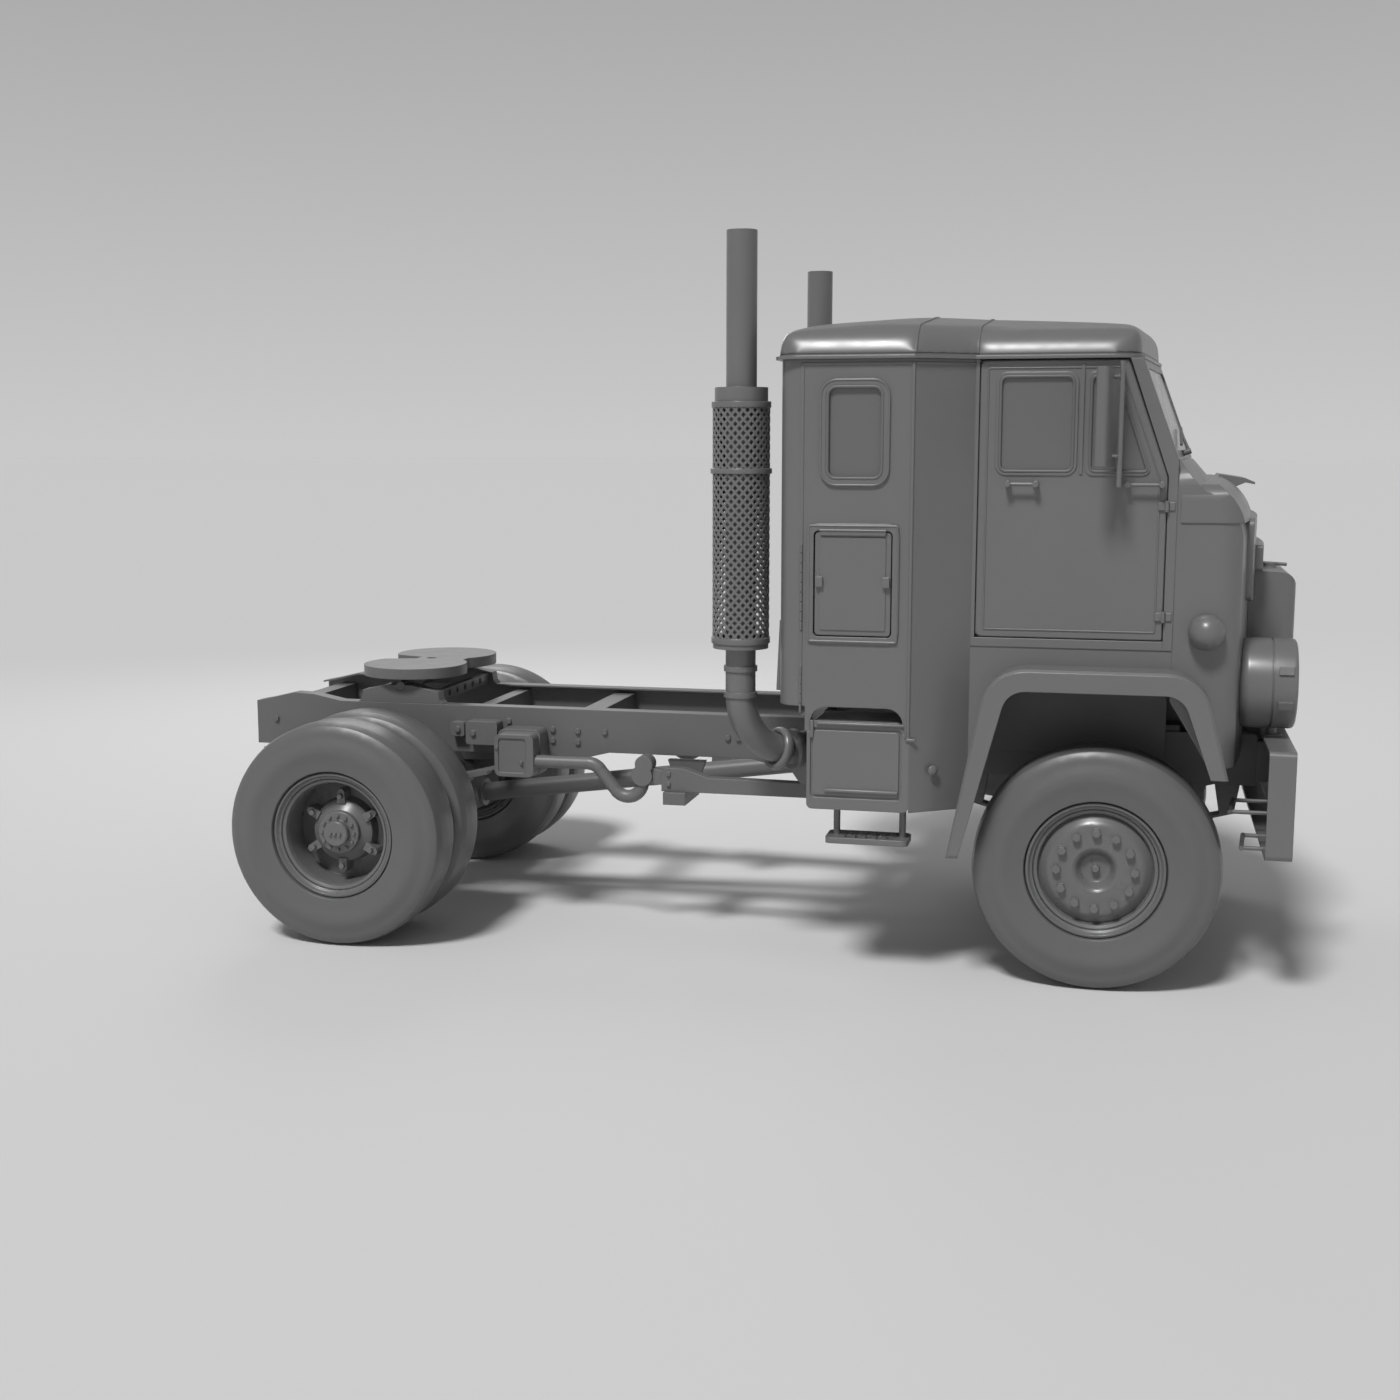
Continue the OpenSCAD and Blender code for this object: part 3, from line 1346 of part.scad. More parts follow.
module fifth_wheel_base() {
  color(frame_grey) both_sides() {
    // Broad pedestal on the rail, with the bore for the plate's pivot
    across(-rail_y + 2, -rail_y + rail_flange - 2) difference() {
      polygon([[plate_x - base_half, rail_top], [plate_x + base_half, rail_top],
        [plate_x + base_half - 18, rail_top + 18], [plate_x + base_half - 25, rail_top + 62],
        [plate_x + 60, pivot_z + 6], [plate_x - 60, pivot_z + 6],
        [plate_x - base_half + 25, rail_top + 62], [plate_x - base_half + 18, rail_top + 18]]);
      translate([plate_x, pivot_z]) circle(r = pivot_r + run_gap);
    }
  }
  // Drilled ties between the pedestals
  color(frame_grey) for (s = [-1, 1]) difference() {
    along(plate_x + s * beam_tie_in - 20, plate_x + s * beam_tie_in + 20)
      polygon(round_box(rail_flange - rail_y - 2, rail_top + 2, rail_y - rail_flange + 2, rail_top + 58,
        8));
    for (i = [-2:2])
      translate([plate_x + s * beam_tie_in - 30, i * 110, rail_top + 30]) rotate([0, 90,
        0]) cylinder(r = 18, h = 60);
  }
}

module fifth_wheel_plate() {
  low = plate_z - plate_t;
  color(frame_grey) difference() {
    union() {
      upward(low, plate_z) difference() {
        union() {
          for (s = [-1, 1]) translate([plate_x, s * lobe_span / 2]) circle(d = lobe_d);
          translate([plate_x - lobe_d * 0.36, -lobe_span / 2]) square([lobe_d * 0.72, lobe_span]);
        }
        // Throat that guides the trailer's pin, open to the rear
        polygon([[plate_x - lobe_d, -190], [plate_x - lobe_d, 190], [plate_x - 70, 34],
          [plate_x - 70, -34]]);
      }
      // Ribs that carry the pivot pins
      both_sides() across(-rail_y + rail_flange + 2, -rail_y + rail_flange + 40)
        polygon([[plate_x - 120, low + 1], [plate_x + 120, low + 1], [plate_x + 40, pivot_z - 34],
          [plate_x - 40, pivot_z - 34]]);
      both_sides() shaft(plate_x, pivot_z, pivot_r, -rail_y + 2, -rail_y + rail_flange + 4);
    }
    translate([plate_x, 0, 0]) cylinder(d = kingpin_bore, h = 2 * plate_z);
  }
}

// Doors

function window_outline(g) = round_box(door_rear + 78 - g, window_z - g, door_rear + 396 + g,
  window_top + g, 35 + g);

// Slanted quarter light ahead of the main window
quarter_x = door_rear + 456;
quarter_r = 30;

function quarter_outline(g) = concat(arc(quarter_x + quarter_r - g, window_z + quarter_r - g, quarter_r,
  180, 270, 4), arc(quarter_x + 212 + g, window_z + quarter_r - g, quarter_r, 270, 380, 4),
  arc(quarter_x + 92 + g * 0.7, window_top - quarter_r + g, quarter_r, 20, 90, 4),
  arc(quarter_x + quarter_r - g, window_top - quarter_r + g, quarter_r, 90, 180, 4));

hinge_r = 9;
hinge_x = door_front + gap / 2;
hinge_y = cab_y + frame_proud + hinge_r + run_gap;
hinge_half = 24;
leaf_half = 17;
leaf_out = 10;
hinge_table = [1654, 2120];
bead = 12;
grab_out = 40;
grab_z = belt_z - 30;
// Grab bars, as distances of their ends behind the door's front edge
grab_table = [[658, 540], [160, 20]];

module door_outline() {
  polygon(concat(arc(door_rear + 25, door_z + 25, 25, 180, 270, 4), [[door_front, door_z],
    [door_front, belt_z], [slant_x, door_top]], arc(door_rear + 25, door_top - 25, 25, 90, 180, 4)));
}

// Right door with its window beads, the bar between its windows, hinge barrels and grab bars
module door() {
  difference() {
    union() {
      across(-cab_y, -cab_y + wall) door_outline();
      across(-cab_y - bead_proud, -cab_y + 1) {
        polygon(window_outline(bead));
        polygon(quarter_outline(bead));
        polygon(round_box(quarter_x - 38, window_z - 6, quarter_x - 24, door_top - 16, 4));
      }
    }
    across(-cab_y - bead_proud - 1, -cab_y + wall + 1) {
      polygon(window_outline(0));
      polygon(quarter_outline(0));
    }
  }
  for (z = hinge_table) {
    translate([hinge_x, -hinge_y, z - hinge_half]) cylinder(r = hinge_r, h = 2 * hinge_half);
    block([hinge_x - 34, -cab_y - leaf_out, z - leaf_half], [hinge_x - 4, -cab_y + 1, z + leaf_half]);
  }
  for (g = grab_table) {
    bar([door_front - g[0], -cab_y - grab_out, grab_z], [door_front - g[1], -cab_y - grab_out, grab_z],
      8);
    for (x = g)
      bar([door_front - x, -cab_y + 2, grab_z], [door_front - x, -cab_y - grab_out - 13, grab_z], 13);
  }
}

module door_right() {
  color(body_grey) door();
}

module door_left() {
  on_left() door_right();
}

module door_glass() {
  across(-cab_y + glass_set, -cab_y + glass_set + glass_t) {
    polygon(window_outline(0));
    polygon(quarter_outline(0));
  }
}

module door_glass_right() {
  color(glass_grey) door_glass();
}

module door_glass_left() {
  on_left() door_glass_right();
}

// Tall mirror on two arms, its head turned towards the driver
mirror_x = door_front - 248;
mirror_y = cab_y + 150;
mirror_z = window_z + 30;
mirror_h = 405;
mirror_turn = -24;
mirror_post = 52;
arm_table = [window_z - 40, window_top + 30];

module mirror_head() {
  for (z = arm_table)
    bar([mirror_x + mirror_post, -cab_y, z], [mirror_x + mirror_post, -mirror_y - 20, z], 9);
  translate([mirror_x + mirror_post, -mirror_y - 12, arm_table[0] - 16])
    cylinder(r = 11, h = arm_table[1] - arm_table[0] + 34);
  translate([mirror_x, -mirror_y, mirror_z]) rotate([0, 0, mirror_turn]) {
    linear_extrude(mirror_h) polygon(round_box(-26, -80, 26, 80, 16));
    for (z = [40, mirror_h - 40]) bar([20, 0, z], [50, 0, z], 9);
  }
}

module mirror_right() {
  color(frame_grey) mirror_head();
}

module mirror_left() {
  on_left() mirror_right();
}

// Hatches: a panel with a raised field, a pin along its upper edge, and a toggle catch on each side
hatch_pin_y = sleeper_y + hatch_proud + hatch_pin_r + run_gap;
hatch_pin_z = hatch_z + hatch_h + gap + 2;
catch_half = 16;

module hatch() {
  across(-sleeper_y - 4, -sleeper_y + hatch_t) polygon(hatch_outline(0));
  across(-sleeper_y - 8, -sleeper_y) polygon(hatch_outline(-22));
  translate([hatch_x + 20, -hatch_pin_y, hatch_pin_z]) rotate([0, 90, 0]) cylinder(r = hatch_pin_r,
    h = hatch_l - 40);
  block([hatch_x + 24, -hatch_pin_y, hatch_z + hatch_h - 14],
    [hatch_x + hatch_l - 24, -sleeper_y - 3, hatch_pin_z - 3]);
  for (x = [hatch_x + 20, hatch_x + hatch_l - 20])
    across(-sleeper_y - 24, -sleeper_y - 2)
      polygon(round_box(x - catch_half, hatch_z + hatch_h * 0.47, x + catch_half,
        hatch_z + hatch_h * 0.57, 5));
}

module hatch_right() {
  color(body_grey) hatch();
}

module hatch_left() {
  on_left() hatch_right();
}

// Steering knuckles: a fork on the kingpin, a brake plate, a spindle and a steering arm
fork_h = 62;
fork_z = eye_h / 2 + fork_h / 2 + 2;
plate_y = 66;
arm_bore = 12;

module knuckle() {
  translate([front_axle, -kingpin_y, wheel_r]) {
    cylinder(d = kingpin_d, h = eye_h + 2 * fork_h, center = true);
    for (s = [-1, 1]) translate([0, 0, s * fork_z]) {
      cylinder(d = kingpin_d + 52, h = fork_h - 2, center = true);
      block([-46, -plate_y - 2, 1 - fork_h / 2], [46, 0, fork_h / 2 - 1]);
    }
    translate([0, -plate_y, 0]) rotate([90, 0, 0]) cylinder(r = 190, h = 14);
    translate([0, -plate_y - 12, 0]) rotate([90, 0, 0])
      cylinder(d = spindle_d, h = kingpin_offset - plate_y + 24);
  }
  // Arm to the tie rod
  translate([front_axle, -kingpin_y, arm_z - 14]) difference() {
    union() {
      block([-steer_arm, -26, 0], [0, 26, 26]);
      translate([-steer_arm, 0, 0]) cylinder(r = 30, h = 26);
    }
    translate([-steer_arm, 0, -1]) cylinder(r = arm_bore + run_gap, h = 30);
  }
}

module knuckle_right() {
  color(frame_grey) knuckle();
}

module knuckle_left() {
  on_left() knuckle_right();
}

module tie_rod() {
  color(frame_grey) {
    translate([front_axle - steer_arm, 0, arm_z - 36]) rotate([90, 0, 0])
      cylinder(r = 17, h = kingpin_span, center = true);
    both_sides() translate([front_axle - steer_arm, -kingpin_y, arm_z - 56]) {
      cylinder(r = 28, h = 41);
      cylinder(r = arm_bore, h = 72);
    }
  }
}

// Wheels

// Tyre section as [radius, distance outboard of its middle]: bead, sidewall, shoulder and tread
function tyre_points() = let (w = tyre_w / 2, b = rim_r - 34) concat([[b, -w * 0.66], [b, w * 0.66],
  [rim_r + 2, w * 0.66 + 0.5], [rim_r + 9, w * 0.86]],
  arc(rim_r + (wheel_r - rim_r) * 0.47, w * 0.34, w * 0.66, 115, 58, 4), [[wheel_r - 34, w * 0.84],
  [wheel_r - 14, w * 0.74], [wheel_r - 3, w * 0.52], [wheel_r, 0], [wheel_r - 3, -w * 0.52],
  [wheel_r - 14, -w * 0.74], [wheel_r - 34, -w * 0.84]],
  arc(rim_r + (wheel_r - rim_r) * 0.47, -w * 0.34, w * 0.66, -58, -115, 4), [[rim_r + 9, -w * 0.86],
  [rim_r + 2, -w * 0.66 - 0.5]]);

module tyre(x, y) {
  turned(x, -y, wheel_r, tyre_points());
}

module front_tyre_right() {
  color(rubber_grey) tyre(front_axle, front_y);
}

module front_tyre_left() {
  on_left() front_tyre_right();
}

module rear_tyres() {
  tyre(rear_axle, rear_y);
  tyre(rear_axle, rear_y - twin_gap);
}

module rear_tyres_right() {
  color(rubber_grey) rear_tyres();
}

module rear_tyres_left() {
  on_left() rear_tyres_right();
}

// Rim barrel as [radius, distance outboard of the tyre's middle]
function rim_points(inner) = let (w = tyre_w / 2, b = rim_r - 34 - run_gap) [[b, -w * 0.66],
  [b, w * 0.66], [rim_r - 4, w * 0.66 + 1], [rim_r, w * 0.78], [rim_r - 10, w * 0.80],
  [rim_r - 20, w * 0.7], [b - 14, w * 0.6], [inner, w * 0.4], [inner, -w * 0.4], [b - 14, -w * 0.6],
  [rim_r - 20, -w * 0.7], [rim_r - 10, -w * 0.80], [rim_r, -w * 0.78], [rim_r - 4, -w * 0.66 - 1]];

// Turns a piece about a wheel's axle
module rotate_about(x, z, a) {
  translate([x, 0, z]) rotate([0, a, 0]) translate([-x, 0, -z]) children();
}

hub_bore = spindle_d / 2 + run_gap;
nut_circle = 168;
rim_in = rim_r - 56;

// Front disc as [radius, distance outboard]: hub, cap, cup, nut flange and cone to the rim
front_disc = [[hub_bore, -58], [hub_bore, 38], [0, 38], [0, 80], [14, 80], [18, 76], [18, 54], [48, 52],
  [62, 58], [86, 94], [100, 102], [192, 100], [206, 94], [240, 66], [rim_in + 1, 60], [rim_in + 1, 30],
  [228, 38], [196, 66], [110, 70], [96, 0], [96, -58]];

module front_wheel() {
  turned(front_axle, -front_y, wheel_r, rim_points(rim_in));
  turned(front_axle, -front_y, wheel_r, front_disc);
  for (i = [0:front_nuts - 1]) rotate_about(front_axle, wheel_r, i * 360 / front_nuts)
    translate([front_axle, -front_y - 99, wheel_r + nut_circle]) rotate([90, 0, 0])
      cylinder(r = 20, h = 28, $fn = 6);
}

module front_wheel_right() {
  color(body_grey) front_wheel();
}

module front_wheel_left() {
  on_left() front_wheel_right();
}

// Rear hub as [radius, distance outboard]: cap, flange, dish and brake drum
rear_hub = [[hub_bore, -420], [hub_bore, 32], [0, 32], [0, 84], [56, 84], [62, 78], [62, 50], [100, 46],
  [104, 40], [104, 20], [150, -10], [160, -60], [rim_in + 1, -80], [rim_in + 1, -100], [160, -98],
  [150, -140], [150, 40 - twin_gap], [rim_in + 1, 20 - twin_gap], [rim_in + 1, -twin_gap],
  [210, -twin_gap], [210, -420]];
rim_seat = [[rim_in, -110], [rim_r - 40, -110], [rim_r - 40, -60], [rim_in, -60]];
clamp_circle = 168;
flange_nuts = 12;
flange_circle = 82;

// Rear pair: two rims on one hub, with the wedge clamps and the axle-shaft flange's nuts
module rear_wheel() {
  turned(rear_axle, -rear_y, wheel_r, rim_points(rim_in));
  turned(rear_axle, -rear_y + twin_gap, wheel_r, rim_points(rim_in));
  turned(rear_axle, -rear_y, wheel_r, rear_hub);
  turned(rear_axle, -rear_y, wheel_r, rim_seat);
  for (i = [0:rear_clamps - 1]) rotate_about(rear_axle, wheel_r, i * 360 / rear_clamps)
    translate([rear_axle, -rear_y, wheel_r + clamp_circle]) {
      across(-8, 80) polygon([[-22, -34], [22, -34], [18, 22], [8, 36], [-8, 36], [-18, 22]]);
      translate([0, -6, 2]) rotate([90, 0, 0]) cylinder(r = 14, h = 22, $fn = 6);
    }
  for (i = [0:flange_nuts - 1]) rotate_about(rear_axle, wheel_r, i * 360 / flange_nuts)
    translate([rear_axle, -rear_y - 45, wheel_r + flange_circle]) rotate([90, 0, 0])
      cylinder(r = 9, h = 14, $fn = 6);
  for (x = [-24, 0, 24]) translate([rear_axle + x, -rear_y - 83, wheel_r]) rotate([90, 0,
    0]) cylinder(r = 8, h = 12);
}

module rear_wheel_right() {
  color(body_grey) rear_wheel();
}

module rear_wheel_left() {
  on_left() rear_wheel_right();
}

// Assembly: each node by its own name
frame_rails();
crossmembers();
suspension();
axles();
powertrain();
bumper();
cab_floor();
nose();
cab_sides();
sleeper_sides();
sleeper_back();
roof();
fender_flares();
lockers();
headlamps();
side_lamps();
grille();
fixed_glass();
wipers();
exhaust_stacks();
heat_shields();
dashboard();
seats();
bunk();
fifth_wheel_base();
fifth_wheel_plate();
steering_wheel();
door_right();
door_left();
door_glass_right();
door_glass_left();
mirror_right();
mirror_left();
hatch_right();
hatch_left();
knuckle_right();
knuckle_left();
tie_rod();
front_tyre_right();
front_tyre_left();
front_wheel_right();
front_wheel_left();
rear_tyres_right();
rear_tyres_left();
rear_wheel_right();
rear_wheel_left();
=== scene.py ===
import json
import math

import bpy
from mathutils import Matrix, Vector

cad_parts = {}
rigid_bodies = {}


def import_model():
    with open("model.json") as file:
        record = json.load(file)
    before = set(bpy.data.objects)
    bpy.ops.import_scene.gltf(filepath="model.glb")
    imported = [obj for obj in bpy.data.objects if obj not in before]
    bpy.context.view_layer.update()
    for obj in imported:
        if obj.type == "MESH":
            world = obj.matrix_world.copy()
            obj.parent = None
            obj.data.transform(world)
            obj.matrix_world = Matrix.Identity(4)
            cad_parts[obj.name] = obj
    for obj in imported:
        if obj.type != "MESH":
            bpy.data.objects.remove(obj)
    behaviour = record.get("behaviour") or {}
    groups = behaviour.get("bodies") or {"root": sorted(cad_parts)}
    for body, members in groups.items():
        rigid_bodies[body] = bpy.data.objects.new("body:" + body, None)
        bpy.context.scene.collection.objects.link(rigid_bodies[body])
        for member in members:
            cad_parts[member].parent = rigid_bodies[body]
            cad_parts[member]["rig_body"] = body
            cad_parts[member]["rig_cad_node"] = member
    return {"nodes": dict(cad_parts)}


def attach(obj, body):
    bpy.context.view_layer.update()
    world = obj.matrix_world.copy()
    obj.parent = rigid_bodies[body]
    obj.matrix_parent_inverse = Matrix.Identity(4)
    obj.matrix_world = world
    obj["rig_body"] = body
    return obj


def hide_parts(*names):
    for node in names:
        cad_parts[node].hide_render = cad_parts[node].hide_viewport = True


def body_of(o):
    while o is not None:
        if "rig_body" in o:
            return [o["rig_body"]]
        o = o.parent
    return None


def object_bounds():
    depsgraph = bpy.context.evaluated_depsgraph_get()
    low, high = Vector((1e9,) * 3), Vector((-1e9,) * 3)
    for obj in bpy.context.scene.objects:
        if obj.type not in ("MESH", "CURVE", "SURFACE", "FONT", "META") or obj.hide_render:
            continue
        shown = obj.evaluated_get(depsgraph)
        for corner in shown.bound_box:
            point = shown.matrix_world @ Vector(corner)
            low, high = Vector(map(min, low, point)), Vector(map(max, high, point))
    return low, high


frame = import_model()
cadLow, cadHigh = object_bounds()
print("frame loaded with", len(frame["nodes"]), "nodes")


# Small steps that the pieces share

weldGap = 0.00002  # points closer than this become one
tiny = 0.0001      # lengths under this count as none
squareOn = 0.9     # share of a face's normal along an axis for it to look that way
panelAngle = 28    # degrees; a sharper turn stays an edge on the CAD's panels
turnedAngle = 40   # the same on small round pieces


def enterEdit():
    bpy.ops.object.mode_set(mode="EDIT")


def leaveEdit():
    bpy.ops.object.mode_set(mode="OBJECT")


def freshStart():
    # nothing selected, in object mode
    if bpy.context.object and bpy.context.object.mode != "OBJECT":
        leaveEdit()
    bpy.ops.object.select_all(action="DESELECT")


def makeActive(piece):
    freshStart()
    piece.select_set(True)
    bpy.context.view_layer.objects.active = piece


def clearMarks(piece, kind):
    # nothing selected in the mesh, so that its points, edges or faces can be marked
    makeActive(piece)
    enterEdit()
    bpy.ops.mesh.select_mode(type=kind)
    bpy.ops.mesh.select_all(action="DESELECT")
    leaveEdit()


def editFaces(piece, wanted):
    # into edit mode with only the wanted faces selected
    clearMarks(piece, "FACE")
    for face in piece.data.polygons:
        face.select = wanted(face)
    enterEdit()


def editEdges(piece, wanted):
    # into edit mode with only the wanted edges selected; wanted gets the two end points
    clearMarks(piece, "EDGE")
    points = piece.data.vertices
    for edge in piece.data.edges:
        edge.select = wanted(points[edge.vertices[0]].co, points[edge.vertices[1]].co)
    enterEdit()


def editPoints(piece, wanted):
    # into edit mode with only the wanted points selected
    clearMarks(piece, "VERT")
    for point in piece.data.vertices:
        point.select = wanted(point.co)
    enterEdit()


def editAll(piece):
    makeActive(piece)
    enterEdit()
    bpy.ops.mesh.select_all(action="SELECT")


def push(y=0, z=0):
    # extrudes what is selected; without a distance the next step shapes the new faces
    bpy.ops.mesh.extrude_region_move(TRANSFORM_OT_translate={"value": (0, y, z)})


def applyModifiers(piece):
    makeActive(piece)
    for modifier in list(piece.modifiers):
        bpy.ops.object.modifier_apply(modifier=modifier.name)


def applyPlace(piece):
    makeActive(piece)
    bpy.ops.object.transform_apply(location=True, rotation=True, scale=True)


def smoothTo(piece, degrees):
    makeActive(piece)
    bpy.ops.object.shade_smooth_by_angle(angle=math.radians(degrees))


def joined(parts, name):
    freshStart()
    for part in parts:
        part.select_set(True)
    bpy.context.view_layer.objects.active = parts[0]
    bpy.ops.object.join()
    whole = bpy.context.object
    whole.name = name
    return whole


def copied(seed, at):
    makeActive(seed)
    bpy.ops.object.duplicate()
    twin = bpy.context.object
    twin.location = at
    return twin


def patterned(seed, places, name):
    # one mesh of copies, one at each place
    copies = [copied(seed, at) for at in places]
    bpy.data.objects.remove(seed)
    whole = joined(copies, name)
    applyPlace(whole)
    return whole


def movePoint(piece, index, target):
    # takes one corner of a primitive to its place
    clearMarks(piece, "VERT")
    corner = piece.data.vertices[index]
    corner.select = True
    step = Vector(target) - corner.co
    enterEdit()
    bpy.ops.transform.translate(value=step)
    leaveEdit()


def roundEdges(piece, width, steps=3, angle=35):
    bevel = piece.modifiers.new("round", "BEVEL")
    bevel.width = width
    bevel.segments = steps
    bevel.limit_method = "ANGLE"
    bevel.angle_limit = math.radians(angle)
    applyModifiers(piece)


def thicken(piece, thickness, offset=-1):
    # offset -1 grows the wall inward, 1 outward
    wall = piece.modifiers.new("wall", "SOLIDIFY")
    wall.thickness = thickness
    wall.offset = offset
    applyModifiers(piece)


def outwardFaces(piece):
    editAll(piece)
    bpy.ops.mesh.remove_doubles(threshold=weldGap)
    bpy.ops.mesh.normals_make_consistent(inside=False)
    leaveEdit()


def mirrored(seed):
    # the same piece on the truck's other side
    makeActive(seed)
    bpy.ops.object.duplicate()
    twin = bpy.context.object
    bpy.ops.transform.resize(value=(1, -1, 1), center_override=(0, 0, 0))
    applyPlace(twin)
    editAll(twin)
    bpy.ops.mesh.normals_make_consistent(inside=False)
    leaveEdit()
    return twin


def slab(low, high, edge):
    # a block between two corners with rounded edges
    freshStart()
    bpy.ops.mesh.primitive_cube_add(size=1, location=[(a + b) / 2 for a, b in zip(low, high)])
    block = bpy.context.object
    bpy.ops.transform.resize(value=[b - a for a, b in zip(low, high)])
    applyPlace(block)
    roundEdges(block, edge)
    return block


def bodyOf(node):
    return body_of(frame["nodes"][node])[0]


def settle(piece, node, slotName, nodes=()):
    # places the finished piece on the body of its node, in the slot's finish
    body = bodyOf(node)
    applyPlace(piece)
    piece.data.materials.clear()
    piece.data.materials.append(finishes[slotName])
    if nodes:
        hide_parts(*nodes)
    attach(piece, body)


# Shader groups

shading = {
    "softEdge": {"samples": 6, "edgeFrom": 0.995, "edgeTo": 0.80},
    "primerGrain": {"slowScale": 2.6, "slowDetail": 4, "patchScale": 14, "patchDetail": 3, "toothDetail": 2,
                    "glossSwing": 0.09},
    "settledDust": {"upFrom": 0.35, "cloudScale": 7, "cloudDetail": 5},
}


def newGroup(name, inputs, outputs):
    group = bpy.data.node_groups.new(name, "ShaderNodeTree")
    for socketName, kind, value in inputs:
        socket = group.interface.new_socket(socketName, in_out="INPUT", socket_type=kind)
        socket.default_value = value
    for socketName, kind in outputs:
        group.interface.new_socket(socketName, in_out="OUTPUT", socket_type=kind)
    start = group.nodes.new("NodeGroupInput")
    end = group.nodes.new("NodeGroupOutput")
    return group, start, end


def mathNode(tree, operation, second=None):
    node = tree.nodes.new("ShaderNodeMath")
    node.operation = operation
    if second is not None:
        node.inputs[1].default_value = second
    return node


def noiseNode(tree, detail, scale=None):
    node = tree.nodes.new("ShaderNodeTexNoise")
    node.inputs["Detail"].default_value = detail
    if scale is not None:
        node.inputs["Scale"].default_value = scale
    return node


def softEdgeGroup():
    # rounds the look of a sharp edge and marks where it is, for the painted edge highlight
    look = shading["softEdge"]
    group, start, end = newGroup("softEdge", [("Radius", "NodeSocketFloat", 0.004)],
                                 [("Normal", "NodeSocketVector"), ("Edge", "NodeSocketFloat")])
    bevel = group.nodes.new("ShaderNodeBevel")
    bevel.samples = look["samples"]
    geometry = group.nodes.new("ShaderNodeNewGeometry")
    facing = group.nodes.new("ShaderNodeVectorMath")
    facing.operation = "DOT_PRODUCT"
    spread = group.nodes.new("ShaderNodeMapRange")
    spread.inputs["From Min"].default_value = look["edgeFrom"]
    spread.inputs["From Max"].default_value = look["edgeTo"]
    link = group.links.new
    link(start.outputs["Radius"], bevel.inputs["Radius"])
    link(bevel.outputs["Normal"], facing.inputs[0])
    link(geometry.outputs["Normal"], facing.inputs[1])
    link(facing.outputs["Value"], spread.inputs["Value"])
    link(bevel.outputs["Normal"], end.inputs["Normal"])
    link(spread.outputs["Result"], end.inputs["Edge"])
    return group


def primerGrainGroup():
    # slow mottling of the tone, a finer change of gloss and the tooth of sprayed primer
    look = shading["primerGrain"]
    group, start, end = newGroup(
        "primerGrain",
        [("Tone", "NodeSocketColor", (0.3, 0.3, 0.3, 1)), ("Mottle", "NodeSocketFloat", 0.06),
         ("Roughness", "NodeSocketFloat", 0.5), ("Grain Scale", "NodeSocketFloat", 600)],
        [("Color", "NodeSocketColor"), ("Roughness", "NodeSocketFloat"), ("Height", "NodeSocketFloat")])
    place = group.nodes.new("ShaderNodeTexCoord")
    slow = noiseNode(group, look["slowDetail"], look["slowScale"])
    patches = noiseNode(group, look["patchDetail"], look["patchScale"])
    tooth = noiseNode(group, look["toothDetail"])
    centred = mathNode(group, "SUBTRACT", 0.5)
    swing = mathNode(group, "MULTIPLY")
    gain = mathNode(group, "ADD", 1)
    tint = group.nodes.new("ShaderNodeVectorMath")
    tint.operation = "SCALE"
    gloss = group.nodes.new("ShaderNodeMapRange")
    gloss.inputs["To Min"].default_value = -look["glossSwing"]
    gloss.inputs["To Max"].default_value = look["glossSwing"]
    rough = mathNode(group, "ADD")
    rough.use_clamp = True
    link = group.links.new
    for noise in (slow, patches, tooth):
        link(place.outputs["Object"], noise.inputs["Vector"])
    link(start.outputs["Grain Scale"], tooth.inputs["Scale"])
    link(slow.outputs["Fac"], centred.inputs[0])
    link(centred.outputs[0], swing.inputs[0])
    link(start.outputs["Mottle"], swing.inputs[1])
    link(swing.outputs[0], gain.inputs[0])
    link(start.outputs["Tone"], tint.inputs[0])
    link(gain.outputs[0], tint.inputs["Scale"])
    link(patches.outputs["Fac"], gloss.inputs["Value"])
    link(gloss.outputs["Result"], rough.inputs[0])
    link(start.outputs["Roughness"], rough.inputs[1])
    link(tint.outputs["Vector"], end.inputs["Color"])
    link(rough.outputs[0], end.inputs["Roughness"])
    link(tooth.outputs["Fac"], end.inputs["Height"])
    return group


def settledDustGroup():
    # a thin pale film on what faces up, broken by noise
    look = shading["settledDust"]
    group, start, end = newGroup(
        "settledDust",
        [("Color", "NodeSocketColor", (0.3, 0.3, 0.3, 1)), ("Film", "NodeSocketColor", (0.4, 0.4, 0.39, 1)),
         ("Amount", "NodeSocketFloat", 0.2)],
        [("Color", "NodeSocketColor")])
    geometry = group.nodes.new("ShaderNodeNewGeometry")
    split = group.nodes.new("ShaderNodeSeparateXYZ")
    upward = group.nodes.new("ShaderNodeMapRange")
    upward.inputs["From Min"].default_value = look["upFrom"]
    place = group.nodes.new("ShaderNodeTexCoord")
    cloud = noiseNode(group, look["cloudDetail"], look["cloudScale"])
    broken = mathNode(group, "MULTIPLY")
    share = mathNode(group, "MULTIPLY")
    film = group.nodes.new("ShaderNodeMix")
    film.data_type = "RGBA"
    link = group.links.new
    link(geometry.outputs["Normal"], split.inputs[0])
    link(split.outputs["Z"], upward.inputs["Value"])
    link(place.outputs["Object"], cloud.inputs["Vector"])
    link(upward.outputs["Result"], broken.inputs[0])
    link(cloud.outputs["Fac"], broken.inputs[1])
    link(broken.outputs[0], share.inputs[0])
    link(start.outputs["Amount"], share.inputs[1])
    link(share.outputs[0], film.inputs["Factor"])
    link(start.outputs["Color"], film.inputs["A"])
    link(start.outputs["Film"], film.inputs["B"])
    link(film.outputs["Result"], end.inputs["Color"])
    return group


softEdge = softEdgeGroup()
primerGrain = primerGrainGroup()
settledDust = settledDustGroup()
